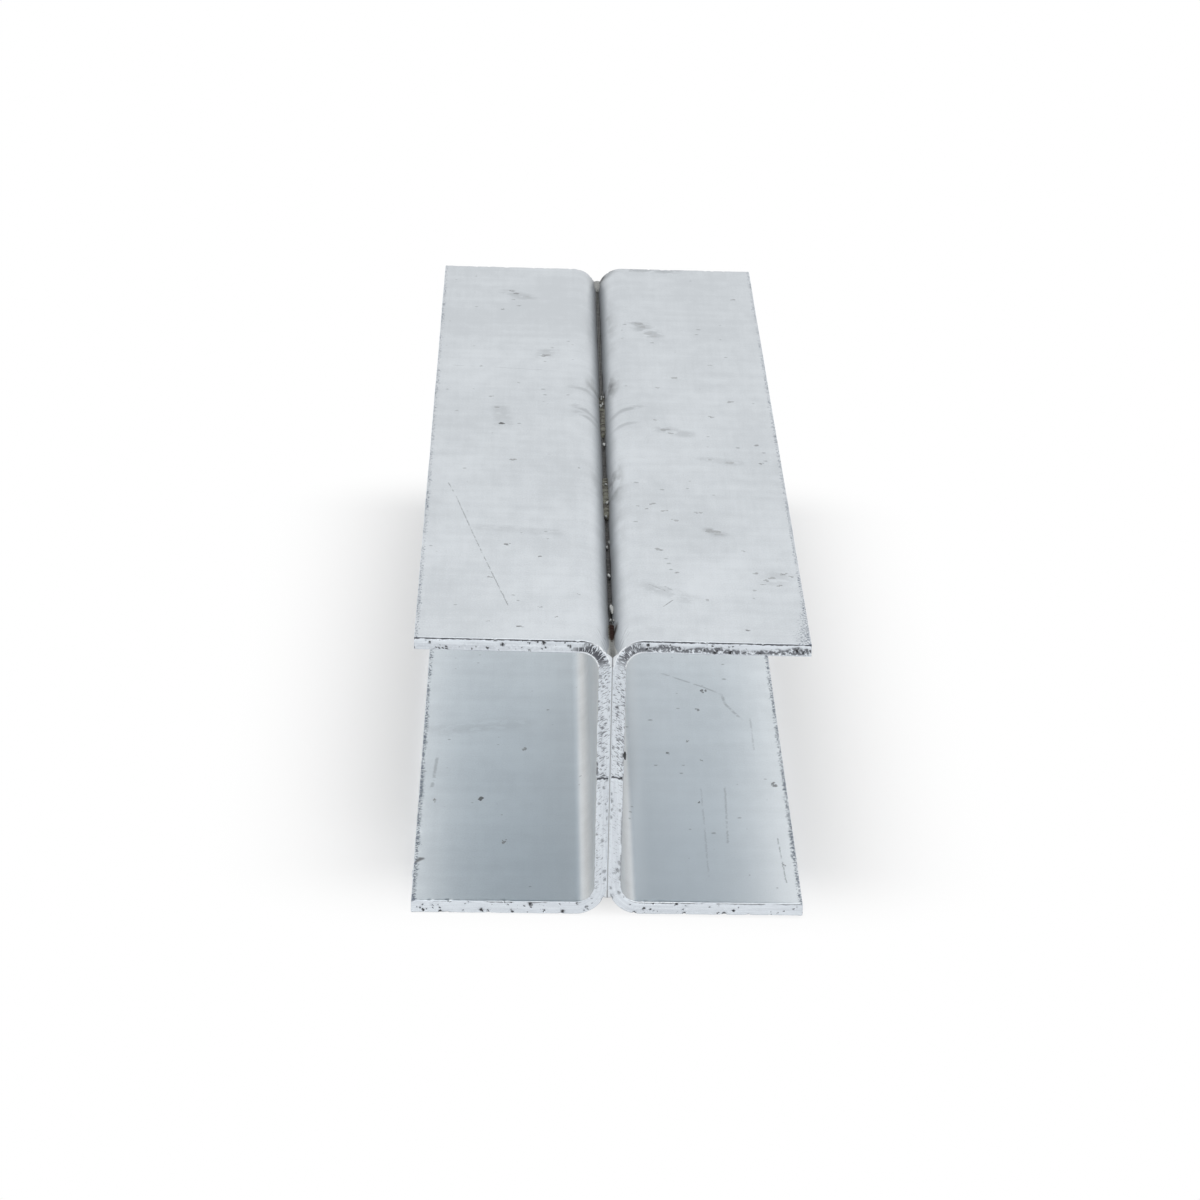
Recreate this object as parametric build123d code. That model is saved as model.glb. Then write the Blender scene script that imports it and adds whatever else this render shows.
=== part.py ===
"""Galvanised H post made of two folded steel channels that stand back to back.

The channels are held together by short stitch welds in the two grooves between their
outside bends. The post lies on its flanges: X runs across the flanges, Y along the post
and Z upwards. The origin is the middle of the underside. All lengths are in millimetres.
"""

import os
from math import sqrt

from build123d import *

# The folded channels
post_length = 500.0
channel_depth = 88.0  # over both flanges
flange_width = 60.0  # from the back of the web to the edge of the flange
plate_thickness = 4.0
inside_bend_radius = 5.5
flange_edge_round = 0.6  # zinc softens the long sheared edges
cut_edge_break = 0.3  # the filed rim of the sawn ends
seam_gap = 0.4  # left between the two webs

# The stitch welds
weld_face_width = 1.8  # groove width at the weld's toes
weld_root_width = 0.6  # groove width at the weld's root
weld_crown_rise = 0.3
weld_end_round = 1.6
front_stitch_length = 38.0
rear_stitch_length = 12.0
near_stitch_length = 52.0
near_stitch_setback = 67.0  # its middle lies in front of the middle of the post
far_stitch_length = 57.0
far_stitch_advance = 41.5  # its middle lies behind the middle of the post

# Worked out from the sizes above
outside_bend_radius = inside_bend_radius + plate_thickness
web_face = seam_gap / 2  # distance of a web's back from the middle plane
front_end = -post_length / 2
rear_end = post_length / 2


def folded_section():
    """Section of the right channel, on the XZ plane, with its bends and its rounded flange edges."""
    outline = Rectangle(flange_width, channel_depth, align=(Align.MIN, Align.MIN))
    back_corners = outline.vertices().group_by(Axis.X)[0]
    outline = fillet(back_corners, outside_bend_radius)

    hollow_depth = channel_depth - 2 * plate_thickness
    hollow = Rectangle(flange_width, hollow_depth, align=(Align.MIN, Align.MIN))
    hollow_corners = hollow.vertices().group_by(Axis.X)[0]
    hollow = fillet(hollow_corners, inside_bend_radius)

    strip = outline - Pos(plate_thickness, plate_thickness) * hollow
    edge_corners = strip.vertices().group_by(Axis.X)[-1]
    strip = fillet(edge_corners, flange_edge_round)
    return Plane.XZ * Pos(web_face, 0) * strip


def channel():
    """The right channel at full length, with the rim of each sawn end broken."""
    body = extrude(folded_section(), post_length / 2, both=True)
    sawn_ends = body.faces().filter_by(Axis.Y)
    return chamfer(sawn_ends.edges(), cut_edge_break)


def groove_depth(width):
    """Depth below the flange face at which the groove between the bends is this wide."""
    reach = outside_bend_radius + web_face - width / 2
    return outside_bend_radius - sqrt(outside_bend_radius**2 - reach**2)


def groove_point(width):
    """Point on the right-hand wall of the upper groove where the groove is this wide."""
    return (width / 2, channel_depth - groove_depth(width))


def weld_section():
    """Section of a weld that fills the root of the upper groove and crowns slightly."""
    toe = groove_point(weld_face_width)
    middle = groove_point((weld_face_width + weld_root_width) / 2)
    root = groove_point(weld_root_width)
    crown = (0, toe[1] + weld_crown_rise)
    with BuildSketch(Plane.XZ) as section:
        with BuildLine():
            wall = ThreePointArc(root, middle, toe)
            mirror(wall, about=Plane.YZ)
            ThreePointArc(toe, crown, (-toe[0], toe[1]))
            Line(root, (-root[0], root[1]))
        make_face()
    return section.sketch


def stitch_weld(start, end):
    """One weld in the upper groove from start to end along the post, rounded off where it stops.

    A weld that reaches an end of the post is cut square there, flush with the channels.
    """
    middle = (start + end) / 2
    bead = Pos(0, middle, 0) * extrude(weld_section(), (end - start) / 2, both=True)

    run_from = start - weld_end_round if start <= front_end else start
    run_to = end + weld_end_round if end >= rear_end else end
    root_level = channel_depth - groove_depth(weld_root_width)
    crown_level = channel_depth - groove_depth(weld_face_width) + weld_crown_rise
    side = Rectangle(run_to - run_from, crown_level - root_level, align=(Align.CENTER, Align.MIN))
    side = fillet(side.vertices().group_by(Axis.Y)[-1], weld_end_round)
    side = Plane.YZ * Pos((run_from + run_to) / 2, root_level) * side
    return bead & extrude(side, weld_face_width, both=True)


def stitch_spans():
    """Where the stitches start and end along the post, from the front to the rear."""
    near_middle = -near_stitch_setback
    far_middle = far_stitch_advance
    return [
        (front_end, front_end + front_stitch_length),
        (near_middle - near_stitch_length / 2, near_middle + near_stitch_length / 2),
        (far_middle - far_stitch_length / 2, far_middle + far_stitch_length / 2),
        (rear_end - rear_stitch_length, rear_end),
    ]


def post_pieces():
    """Every piece of the post by the name of its node."""
    right = channel()
    pieces = {"right_channel": right, "left_channel": mirror(right, about=Plane.YZ)}
    mid_level = Plane.XY.offset(channel_depth / 2)
    for place, (start, end) in enumerate(stitch_spans(), 1):
        weld = stitch_weld(start, end)
        pieces[f"top_stitch_weld_{place}"] = weld
        pieces[f"bottom_stitch_weld_{place}"] = mirror(weld, about=mid_level)
    return pieces


os.makedirs("parts", exist_ok=True)
for node, piece in post_pieces().items():
    export_step(piece, f"parts/{node}.step")
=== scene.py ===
"""Looks of a galvanised H post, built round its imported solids.

Two folded channels, the stitch welds between them and the zinc that ran into the grooves are
meshes in metres, in the frame of the solids. Each channel starts as a flat blank of steel
plate: its edges are rounded, its cut faces get their pits and tears, and then it is folded.
Every vertex keeps its place on the flat blank, so that the finishes follow the plate round
its bends.
"""

import logging
import math
from dataclasses import dataclass
from enum import Enum
from typing import Sequence, Union

import bmesh
import bpy
import numpy as np
from mathutils import Matrix, Vector
from mathutils.bvhtree import BVHTree


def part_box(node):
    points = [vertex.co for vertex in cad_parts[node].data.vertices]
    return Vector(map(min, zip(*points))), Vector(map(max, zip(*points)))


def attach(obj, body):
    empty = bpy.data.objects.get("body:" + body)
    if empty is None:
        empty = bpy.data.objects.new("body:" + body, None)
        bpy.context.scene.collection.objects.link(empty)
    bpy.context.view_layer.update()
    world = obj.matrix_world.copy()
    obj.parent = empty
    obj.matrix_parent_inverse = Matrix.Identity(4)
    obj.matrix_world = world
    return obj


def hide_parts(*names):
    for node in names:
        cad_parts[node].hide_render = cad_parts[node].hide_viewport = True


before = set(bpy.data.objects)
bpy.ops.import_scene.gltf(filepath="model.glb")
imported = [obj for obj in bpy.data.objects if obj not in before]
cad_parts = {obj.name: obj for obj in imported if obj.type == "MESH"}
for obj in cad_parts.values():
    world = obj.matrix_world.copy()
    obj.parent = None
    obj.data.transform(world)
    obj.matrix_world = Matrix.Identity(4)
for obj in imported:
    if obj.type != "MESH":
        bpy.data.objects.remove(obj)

LOG = logging.getLogger("h_post")
MM = 0.001

# Names of the attributes that meshes carry
BLANK = "blank"
LUMP_SIZE = "size"
LUMP_DARKNESS = "darkness"

# Values that more than one piece or finish uses
LUMP_SEED = 7
DIRT_SPECULAR = 0.12
FACE_SPLIT = 25.0  # sets the noise on the two faces of the plate apart

Colour = tuple[float, float, float]
Value = Union["Field", float, Sequence[float]]


class Labelled(Enum):
    """Options whose labels start the names of pieces and finishes."""

    @property
    def label(self) -> str:
        """The option's name in lower case."""
        return self.name.lower()


class Side(Labelled):
    """The two channels, by the sign of X towards which each one opens."""

    LEFT = -1
    RIGHT = 1


class Groove(Labelled):
    """The two grooves between the bends, by the sign of Z towards which each one opens."""

    TOP = 1
    BOTTOM = -1


class Face(Enum):
    """The faces of a channel that carry marks of their own."""

    UPPER_OUTSIDE = "outside of the upper flange"
    LOWER_INSIDE = "inside of the lower flange"
    WEB_END = "front end of the web"


class Field:
    """A value that changes over a surface: one output of a node in a tree."""

    def __init__(self, graph: "Graph", socket: bpy.types.NodeSocket) -> None:
        """Keeps the tree and the socket that the value comes from."""
        self.graph = graph
        self.socket = socket

    def __add__(self, other: Value) -> "Field":
        """Sum with a field or a number."""
        return self.graph.math("ADD", self, other)

    def __sub__(self, other: Value) -> "Field":
        """Difference from a field or a number."""
        return self.graph.math("SUBTRACT", self, other)

    def __rsub__(self, other: Value) -> "Field":
        """A number less this field."""
        return self.graph.math("SUBTRACT", other, self)

    def __mul__(self, other: Value) -> "Field":
        """Product with a field or a number."""
        return self.graph.math("MULTIPLY", self, other)

    def __truediv__(self, other: Value) -> "Field":
        """Quotient by a field or a number."""
        return self.graph.math("DIVIDE", self, other)

    def __rtruediv__(self, other: Value) -> "Field":
        """A number divided by this field."""
        return self.graph.math("DIVIDE", other, self)

    def __or__(self, other: Value) -> "Field":
        """The larger of this and a field or a number."""
        return self.graph.math("MAXIMUM", self, other)

    def __and__(self, other: Value) -> "Field":
        """The smaller of this and a field or a number."""
        return self.graph.math("MINIMUM", self, other)

    def __abs__(self) -> "Field":
        """Size without its sign."""
        return self.graph.math("ABSOLUTE", self)

    __radd__ = __add__
    __rmul__ = __mul__


class Graph:
    """Writes a node tree as formulas: each call adds a node and gives back its output."""

    def __init__(self, tree: bpy.types.NodeTree) -> None:
        """Takes the tree, of geometry or of a shader, that the nodes go into."""
        self.tree = tree

    def node(self, kind: str, **settings: object) -> bpy.types.Node:
        """Adds a node.

        Args:
            kind: Blender's name for the node type.
            **settings: properties to set on it.

        Returns:
            The new node.
        """
        node = self.tree.nodes.new(kind)
        for name, value in settings.items():
            setattr(node, name, value)
        return node

    def feed(self, socket: bpy.types.NodeSocket, value: Value) -> None:
        """Links a field to an input, or sets the input to a plain value.

        Args:
            socket: the input.
            value: a field, a number or the numbers of a vector or colour.
        """
        if isinstance(value, Field):
            self.tree.links.new(value.socket, socket)
        else:
            socket.default_value = value

    def math(self, operation: str, *values: Value, clamp: bool = False) -> Field:
        """Adds a Math node.

        Args:
            operation: Blender's name for the operation.
            *values: its inputs in order.
            clamp: whether the result is held between 0 and 1.

        Returns:
            The result.
        """
        node = self.node("ShaderNodeMath", operation=operation, use_clamp=clamp)
        for socket, value in zip(node.inputs, values):
            self.feed(socket, value)
        return Field(self, node.outputs[0])

    def vector(self, operation: str, *values: Value, output: str = "Vector") -> Field:
        """Adds a Vector Math node.

        Args:
            operation: Blender's name for the operation.
            *values: its vector inputs in order.
            output: Vector, or Value for lengths and products.

        Returns:
            The result.
        """
        node = self.node("ShaderNodeVectorMath", operation=operation)
        for socket, value in zip(node.inputs, values):
            self.feed(socket, value)
        return Field(self, node.outputs[output])

    def scaled(self, vector: Value, factor: Value) -> Field:
        """A vector times a number or a field.

        Args:
            vector: the vector.
            factor: what it is multiplied by.

        Returns:
            The longer or shorter vector.
        """
        node = self.node("ShaderNodeVectorMath", operation="SCALE")
        self.feed(node.inputs["Vector"], vector)
        self.feed(node.inputs["Scale"], factor)
        return Field(self, node.outputs["Vector"])

    def split(self, vector: Field) -> tuple[Field, Field, Field]:
        """The three parts of a vector.

        Args:
            vector: the vector.

        Returns:
            Its X, Y and Z.
        """
        node = self.node("ShaderNodeSeparateXYZ")
        self.feed(node.inputs[0], vector)
        return tuple(Field(self, socket) for socket in node.outputs)

    def join(self, x: Value, y: Value, z: Value) -> Field:
        """A vector from its three parts.

        Args:
            x: its X.
            y: its Y.
            z: its Z.

        Returns:
            The vector.
        """
        node = self.node("ShaderNodeCombineXYZ")
        for socket, value in zip(node.inputs, (x, y, z)):
            self.feed(socket, value)
        return Field(self, node.outputs[0])

    def ramp(self, value: Value, low: Value, high: Value) -> Field:
        """Rises smoothly from 0 at low to 1 at high; low may be the larger of the two.

        Args:
            value: the field to read.
            low: where the result is 0.
            high: where the result is 1.

        Returns:
            A mask between 0 and 1.
        """
        node = self.node("ShaderNodeMapRange", interpolation_type="SMOOTHSTEP")
        self.feed(node.inputs["Value"], value)
        self.feed(node.inputs["From Min"], low)
        self.feed(node.inputs["From Max"], high)
        return Field(self, node.outputs[0])

    def band(self, value: Field, middle: float, half: float, soft: float) -> Field:
        """A mask that is 1 near one value and 0 away from it.

        Args:
            value: the field to read.
            middle: the value in the middle of the band.
            half: half the width of the band.
            soft: over what length it fades at either side.

        Returns:
            The mask.
        """
        return self.ramp(abs(value - middle), half + soft / 2, half - soft / 2)

    def noise(self, point: Value, size: float, detail: float = 2.0) -> Field:
        """Cloudy noise between 0 and 1.

        Args:
            point: where it is read.
            size: how large its features are, in the point's units.
            detail: how many finer octaves it has.

        Returns:
            The noise.
        """
        node = self.node("ShaderNodeTexNoise")
        self.feed(node.inputs["Vector"], point)
        node.inputs["Scale"].default_value = 1.0 / size
        node.inputs["Detail"].default_value = detail
        return Field(self, node.outputs[0])

    def cells(self, point: Value, size: float) -> tuple[Field, Field]:
        """Scattered spots, one in each cell of a loose grid on the point's X and Y.

        Args:
            point: where they are read.
            size: the cell's size, in the point's units.

        Returns:
            The distance from the nearest spot as a share of the cell, and a random number
            between 0 and 1 that belongs to the spot.
        """
        node = self.node("ShaderNodeTexVoronoi", voronoi_dimensions="2D")
        self.feed(node.inputs["Vector"], point)
        node.inputs["Scale"].default_value = 1.0 / size
        chance, _, _ = self.split(Field(self, node.outputs["Color"]))
        return Field(self, node.outputs["Distance"]), chance

    def blend(self, share: Value, first: Value, second: Value) -> Field:
        """Mixes two colours.

        Args:
            share: 0 for the first, 1 for the second.
            first: a colour, or the field of one.
            second: a colour, or the field of one.

        Returns:
            The mixed colour.
        """
        node = self.node("ShaderNodeMix", data_type="RGBA")
        self.feed(node.inputs[0], share)
        for socket, value in ((node.inputs[6], first), (node.inputs[7], second)):
            self.feed(socket, value if isinstance(value, Field) else (*value, 1.0))
        return Field(self, node.outputs[2])

    def place(self, group: bpy.types.NodeTree, **values: Value) -> dict[str, Field]:
        """Places a shader node group and sets its inputs.

        Args:
            group: the group.
            **values: its inputs, with an underscore for each space in a name.

        Returns:
            Its outputs by name.
        """
        node = self.node("ShaderNodeGroup", node_tree=group)
        for name, value in values.items():
            self.feed(node.inputs[name.replace("_", " ").capitalize()], value)
        return {socket.name: Field(self, socket) for socket in node.outputs}


SOCKETS = {
    float: "NodeSocketFloat",
    Vector: "NodeSocketVector",
    bpy.types.Material: "NodeSocketMaterial",
    bpy.types.Mesh: "NodeSocketGeometry",
}


class Tree(Graph):
    """A node tree of its own with named inputs and outputs."""

    def __init__(self, name: str, kind: str, inputs: dict[str, type], outputs: dict[str, type]) -> None:
        """Makes the tree.

        Args:
            name: its name.
            kind: GeometryNodeTree or ShaderNodeTree.
            inputs: the type of each input by name.
            outputs: the type of each output by name.
        """
        super().__init__(bpy.data.node_groups.new(name, kind))
        for label, value in inputs.items():
            self.tree.interface.new_socket(label, in_out="INPUT", socket_type=SOCKETS[value])
        for label, value in outputs.items():
            self.tree.interface.new_socket(label, in_out="OUTPUT", socket_type=SOCKETS[value])
        self.entry = self.node("NodeGroupInput")
        self.exit = self.node("NodeGroupOutput")

    def __getitem__(self, name: str) -> Field:
        """The field that comes in under a name."""
        return Field(self, self.entry.outputs[name])

    def give(self, **results: Field) -> bpy.types.NodeTree:
        """Links the results to the outputs.

        Args:
            **results: the fields by output name, in lower case.

        Returns:
            The finished tree.
        """
        for name, value in results.items():
            self.feed(self.exit.inputs[name.replace("_", " ").capitalize()], value)
        return self.tree

    def step(self, kind: str, geometry: Field, **values: Value) -> Field:
        """Adds a node that changes the geometry.

        Args:
            kind: Blender's name for the node type.
            geometry: the geometry that goes in.
            **values: the node's other inputs, with an underscore for each space in a name.

        Returns:
            The geometry that comes out.
        """
        node = self.node(kind)
        self.feed(node.inputs[0], geometry)
        for name, value in values.items():
            self.feed(node.inputs[name.replace("_", " ").title()], value)
        return Field(self, node.outputs[0])

    def position(self) -> Field:
        """The place of each vertex."""
        return Field(self, self.node("GeometryNodeInputPosition").outputs[0])

    def apply(self, name: str, blank: bpy.types.Mesh, values: dict[str, object]) -> bpy.types.Mesh:
        """Runs the tree on a mesh and keeps the result as a plain mesh.

        Args:
            name: the name of the new mesh.
            blank: the mesh that goes in.
            values: the tree's other inputs by name.

        Returns:
            The mesh that comes out.
        """
        shaper = bpy.data.objects.new(name, blank)
        bpy.context.scene.collection.objects.link(shaper)
        modifier = shaper.modifiers.new(name, "NODES")
        modifier.node_group = self.tree
        for item in self.tree.interface.items_tree:
            if item.in_out == "INPUT" and item.name in values:
                modifier[item.identifier] = values[item.name]
        depsgraph = bpy.context.evaluated_depsgraph_get()
        shaped = bpy.data.meshes.new_from_object(
            shaper.evaluated_get(depsgraph), preserve_all_data_layers=True, depsgraph=depsgraph
        )
        shaper.modifiers.remove(modifier)
        bpy.data.objects.remove(shaper)
        bpy.data.meshes.remove(blank)
        shaped.name = name
        return shaped


def graded(*runs: tuple[float, float]) -> np.ndarray:
    """Stations from 0 outwards whose spacing changes from run to run.

    Args:
        *runs: the end of each run and about how far apart its stations are.

    Returns:
        The stations in order, 0 first.
    """
    stations = [0.0]
    for end, step in runs:
        count = max(1, round((end - stations[-1]) / step))
        stations.extend(np.linspace(stations[-1], end, count + 1)[1:])
    return np.array(stations)


def both_ways(half: np.ndarray) -> np.ndarray:
    """Stations from 0 outwards, repeated on the other side of 0."""
    return np.concatenate((-half[:0:-1], half))


def box_shell(name: str, xs: np.ndarray, ys: np.ndarray, zs: np.ndarray, flip: bool) -> bpy.types.Mesh:
    """The closed skin of a box, divided at given stations.

    Args:
        name: the name of the mesh.
        xs: stations along X.
        ys: stations along Y.
        zs: stations along Z.
        flip: whether the faces point inwards, for a shape that is mirrored later.

    Returns:
        The mesh.
    """
    shape = (len(xs), len(ys), len(zs))
    place = np.indices(shape)
    skin = np.zeros(shape, dtype=bool)
    for axis in range(3):
        skin |= (place[axis] == 0) | (place[axis] == shape[axis] - 1)
    number = np.full(shape, -1)
    number[skin] = np.arange(skin.sum())
    points = np.stack([line[place[axis][skin]] for axis, line in enumerate((xs, ys, zs))], axis=1)
    faces = []
    for axis in range(3):
        for end in (0, -1):
            layer = number.take(end, axis=axis)
            corners = (layer[:-1, :-1], layer[1:, :-1], layer[1:, 1:], layer[:-1, 1:])
            quads = np.stack(corners, axis=-1).reshape(-1, 4)
            outward = (end == -1) != (axis == 1)
            faces.append(quads if outward != flip else quads[:, ::-1])
    mesh = bpy.data.meshes.new(name)
    mesh.from_pydata(points.tolist(), [], np.concatenate(faces).tolist())
    return mesh


def show(name: str, mesh: bpy.types.Mesh, slot: str, *nodes: str) -> bpy.types.Object:
    """Adds a finished mesh to the post.

    Args:
        name: the name of the piece.
        mesh: its mesh, with its place in its vertices.
        slot: the record's material slot that it belongs to; it is not used.
        *nodes: the solids that it stands for.

    Returns:
        The piece.
    """
    piece = bpy.data.objects.new(name, mesh)
    bpy.context.scene.collection.objects.link(piece)
    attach(piece, "root")
    if nodes:
        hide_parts(*nodes)
    LOG.info("%s: %d triangles", name, sum(len(face.vertices) - 2 for face in mesh.polygons))
    return piece


@dataclass(frozen=True)
class Fold:
    """How a flat blank of plate becomes a channel, in metres.

    The blank's X runs from the lower flange edge to the upper one with 0 at the middle of
    the web, its Y along the post and its Z through the plate from the outside to the inside.
    """

    length: float
    depth: float
    flange: float
    seam: float
    plate: float = 4.0 * MM
    bend: float = 5.5 * MM

    @classmethod
    def of_frame(cls) -> "Fold":
        """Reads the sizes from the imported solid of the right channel."""
        low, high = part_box("right_channel")
        return cls(high[1] - low[1], high[2] - low[2], high[0] - low[0], 2 * low[0])

    @property
    def outside(self) -> float:
        """Outside radius of the bends."""
        return self.bend + self.plate

    @property
    def middle(self) -> float:
        """Radius at the middle of the plate, where a bend is as long as on the blank."""
        return self.bend + self.plate / 2

    @property
    def web(self) -> float:
        """Half the height of the flat of the web."""
        return self.depth / 2 - self.outside

    @property
    def arc(self) -> float:
        """Length of a bend on the blank."""
        return self.middle * math.pi / 2

    @property
    def half(self) -> float:
        """Half the width of the blank."""
        return self.web + self.arc + self.flange - self.outside

    def on_blank(self, face: Face, first: float, second: float) -> Vector:
        """The place on the blank of a point on the post.

        Args:
            face: the face that the point is on.
            first: its distance from the plane between the webs.
            second: its Y in the post, or its Z on the end of a web.

        Returns:
            The place on the blank.
        """
        if face is Face.WEB_END:
            return Vector((second - self.depth / 2, -self.length / 2, first - self.seam / 2))
        run = first - self.seam / 2 - self.outside + self.web + self.arc
        if face is Face.UPPER_OUTSIDE:
            return Vector((run, second, 0.0))
        return Vector((-run, second, self.plate))


@dataclass(frozen=True)
class Place:
    """Where a point lies on the flat blank, as fields of one tree."""

    graph: Graph
    run: Field
    along: Field
    through: Field
    up_bend: Field
    past_bend: Field
    to_end: Field
    to_edge: Field
    upper: Field
    grain: Field
    on_cut: Field

    @classmethod
    def read(cls, graph: Graph, point: Field, seed: Value, web: Value, arc: Value, half: Value,
             end: Value) -> "Place":
        """Works out the fields from a point on the blank.

        Args:
            graph: the tree.
            point: the point.
            seed: a length that makes the noise of each channel differ.
            web: half the height of the flat of the web.
            arc: the length of a bend.
            half: half the width of the blank.
            end: half the length of the post.

        Returns:
            The place. Its grain is where noise is read, and its place on the cut runs along a
            cut face and through the plate.
        """
        run, along, through = graph.split(point)
        reach = abs(run)
        up_bend = reach - web
        to_end = end - abs(along)
        to_edge = half - reach
        on_end = graph.math("LESS_THAN", to_end, to_edge)
        across = run * on_end + along * (1.0 - on_end) + seed
        return cls(
            graph, run, along, through, up_bend, up_bend - arc, to_end, to_edge,
            upper=graph.ramp(run, -1.0 * MM, 1.0 * MM),
            grain=graph.join(run + seed, along, through),
            on_cut=graph.join(across, through, 0.0),
        )


@dataclass(frozen=True)
class CutWear:
    """Pits and tears of the zinc on cut faces, the same for the shape and for the colour."""

    pit_spacing: float = 2.5 * MM
    pit_chance: float = 0.60
    pit_radius: float = 0.36
    fine_pit_share: float = 0.4
    fine_pit_chance: float = 0.16
    tear_pitch: float = 0.40 * MM
    tear_length: float = 1.7 * MM
    tear_slant: float = 0.60
    fan_pitch: float = 0.42 * MM
    ledge_width: float = 0.42 * MM
    lip_depth: float = 0.72 * MM
    plate: float = Fold.plate

    def pits(self, place: Place) -> Field:
        """Scattered ragged pits, fewer on the web than on the flanges.

        Args:
            place: the place on the blank.

        Returns:
            A mask that is 1 in the middle of a pit.
        """
        graph = place.graph
        ragged = graph.noise(place.on_cut, self.pit_spacing / 4, 3.0) - 0.5
        push = graph.join(ragged * (1.8 * MM), ragged * (-1.1 * MM), 0.0)
        pushed = graph.vector("ADD", place.on_cut, push)
        total = 0.0
        for spacing, chance_of_one in (
            (self.pit_spacing, self.pit_chance),
            (self.pit_spacing * self.fine_pit_share, self.fine_pit_chance),
        ):
            distance, chance = graph.cells(pushed, spacing)
            radius = self.pit_radius * graph.ramp(chance, 1.0 - chance_of_one, 1.0)
            mask = graph.ramp(distance + ragged * 0.35, radius, radius * 0.3)
            total = mask * graph.ramp(radius, 0.02, 0.08) | total
        return total * (0.45 + 0.55 * graph.ramp(place.past_bend, -6.0 * MM, 0.0))

    def tears(self, place: Place) -> Field:
        """Short slanting tears on the ends of the web, finer on its lower half.

        Args:
            place: the place on the blank.

        Returns:
            A mask that is 1 in a tear.
        """
        graph = place.graph
        run, _, through = graph.split(place.grain)
        squeeze = self.tear_pitch / self.tear_length
        across = run + through * self.tear_slant
        lengthwise = (through - run * self.tear_slant) * squeeze
        torn = graph.noise(graph.join(across, lengthwise, 0.0), self.tear_pitch, 2.0)
        on_web = graph.ramp(place.up_bend, 7.0 * MM, 1.0 * MM)
        patches = graph.ramp(graph.noise(place.on_cut, 4.0 * MM), 0.36, 0.56)
        from_seam = graph.ramp(place.through, 0.4 * MM, 2.0 * MM)
        torn = torn + place.upper * 0.03 + (patches + from_seam) * 0.05
        return graph.ramp(torn, 0.635, 0.735) * on_web * (0.5 + place.upper * 0.5)

    def fan(self, place: Place) -> Field:
        """Dark streaks that fan out across the upper bend.

        Args:
            place: the place on the blank.

        Returns:
            A mask that is 1 in a streak.
        """
        graph = place.graph
        run, _, through = graph.split(place.grain)
        lines = graph.noise(graph.join(run, through * 0.25, 0.0), self.fan_pitch, 2.0)
        window = graph.band(place.past_bend, -4.0 * MM, 6.0 * MM, 5.0 * MM)
        inner = graph.ramp(place.through, 0.4 * MM, 2.4 * MM)
        off_rims = graph.band(place.through, 2.05 * MM, 1.5 * MM, 0.5 * MM)
        on_flange = graph.ramp(place.past_bend, -3.0 * MM, 1.0 * MM)
        clean = on_flange * graph.ramp(place.through, 2.6 * MM, 1.8 * MM)
        dark = graph.ramp(lines + inner * 0.08, 0.46, 0.56)
        return dark * window * off_rims * place.upper * (1.0 - clean)

    def ragged_band(self, place: Place) -> Field:
        """The torn inner half of the end of the upper flange.

        Args:
            place: the place on the blank.

        Returns:
            A mask that is 1 where the zinc is torn.
        """
        graph = place.graph
        coarse = (graph.noise(place.on_cut, 5.0 * MM, 4.0) - 0.5) * (4.0 * MM)
        inner = graph.ramp(place.through + coarse, 1.5 * MM, 2.4 * MM)
        off_rim = graph.ramp(place.through + coarse * 0.2, 3.9 * MM, 3.3 * MM)
        broken = graph.ramp(graph.noise(place.on_cut, 0.9 * MM, 4.0), 0.38, 0.54)
        return inner * off_rim * broken * graph.ramp(place.past_bend, -6.0 * MM, 0.0) * place.upper

    def ledge(self, place: Place) -> Field:
        """The line halfway up the web where the two cuts met.

        Args:
            place: the place on the blank.

        Returns:
            A mask that is 1 in the line.
        """
        graph = place.graph
        wander = (graph.noise(place.grain, 1.6 * MM, 3.0) - 0.5) * (2.0 * MM)
        return graph.ramp(abs(place.run + wander), self.ledge_width, self.ledge_width * 0.4)

    def lip(self, place: Place) -> Field:
        """The ragged dark rim of the flange ends: outside on the upper one, a painted shadow under the
        burr, and inside on the lower one, crumbs of dross.

        Args:
            place: the place on the blank.

        Returns:
            A mask that is 1 on the rim.
        """
        graph = place.graph
        below = 1.0 - place.upper
        depth = place.through * place.upper + (self.plate - place.through) * below
        wander = (graph.noise(place.grain, 1.5 * MM, 3.0) - 0.5) * (0.7 * MM)
        line = graph.ramp(depth + wander, self.lip_depth, self.lip_depth * 0.6)
        broken = graph.ramp(graph.noise(place.grain, 5.0 * MM), 0.26 + below * 0.2, 0.38 + below * 0.2)
        return line * broken * graph.ramp(place.past_bend, -6.0 * MM, 0.0) * (1.0 - below * 0.4)


CUT_WEAR = CutWear()


@dataclass(frozen=True)
class Nick:
    """A dent in a flange edge, in millimetres."""

    upper: bool
    along: float
    radius: float
    depth: float


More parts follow.
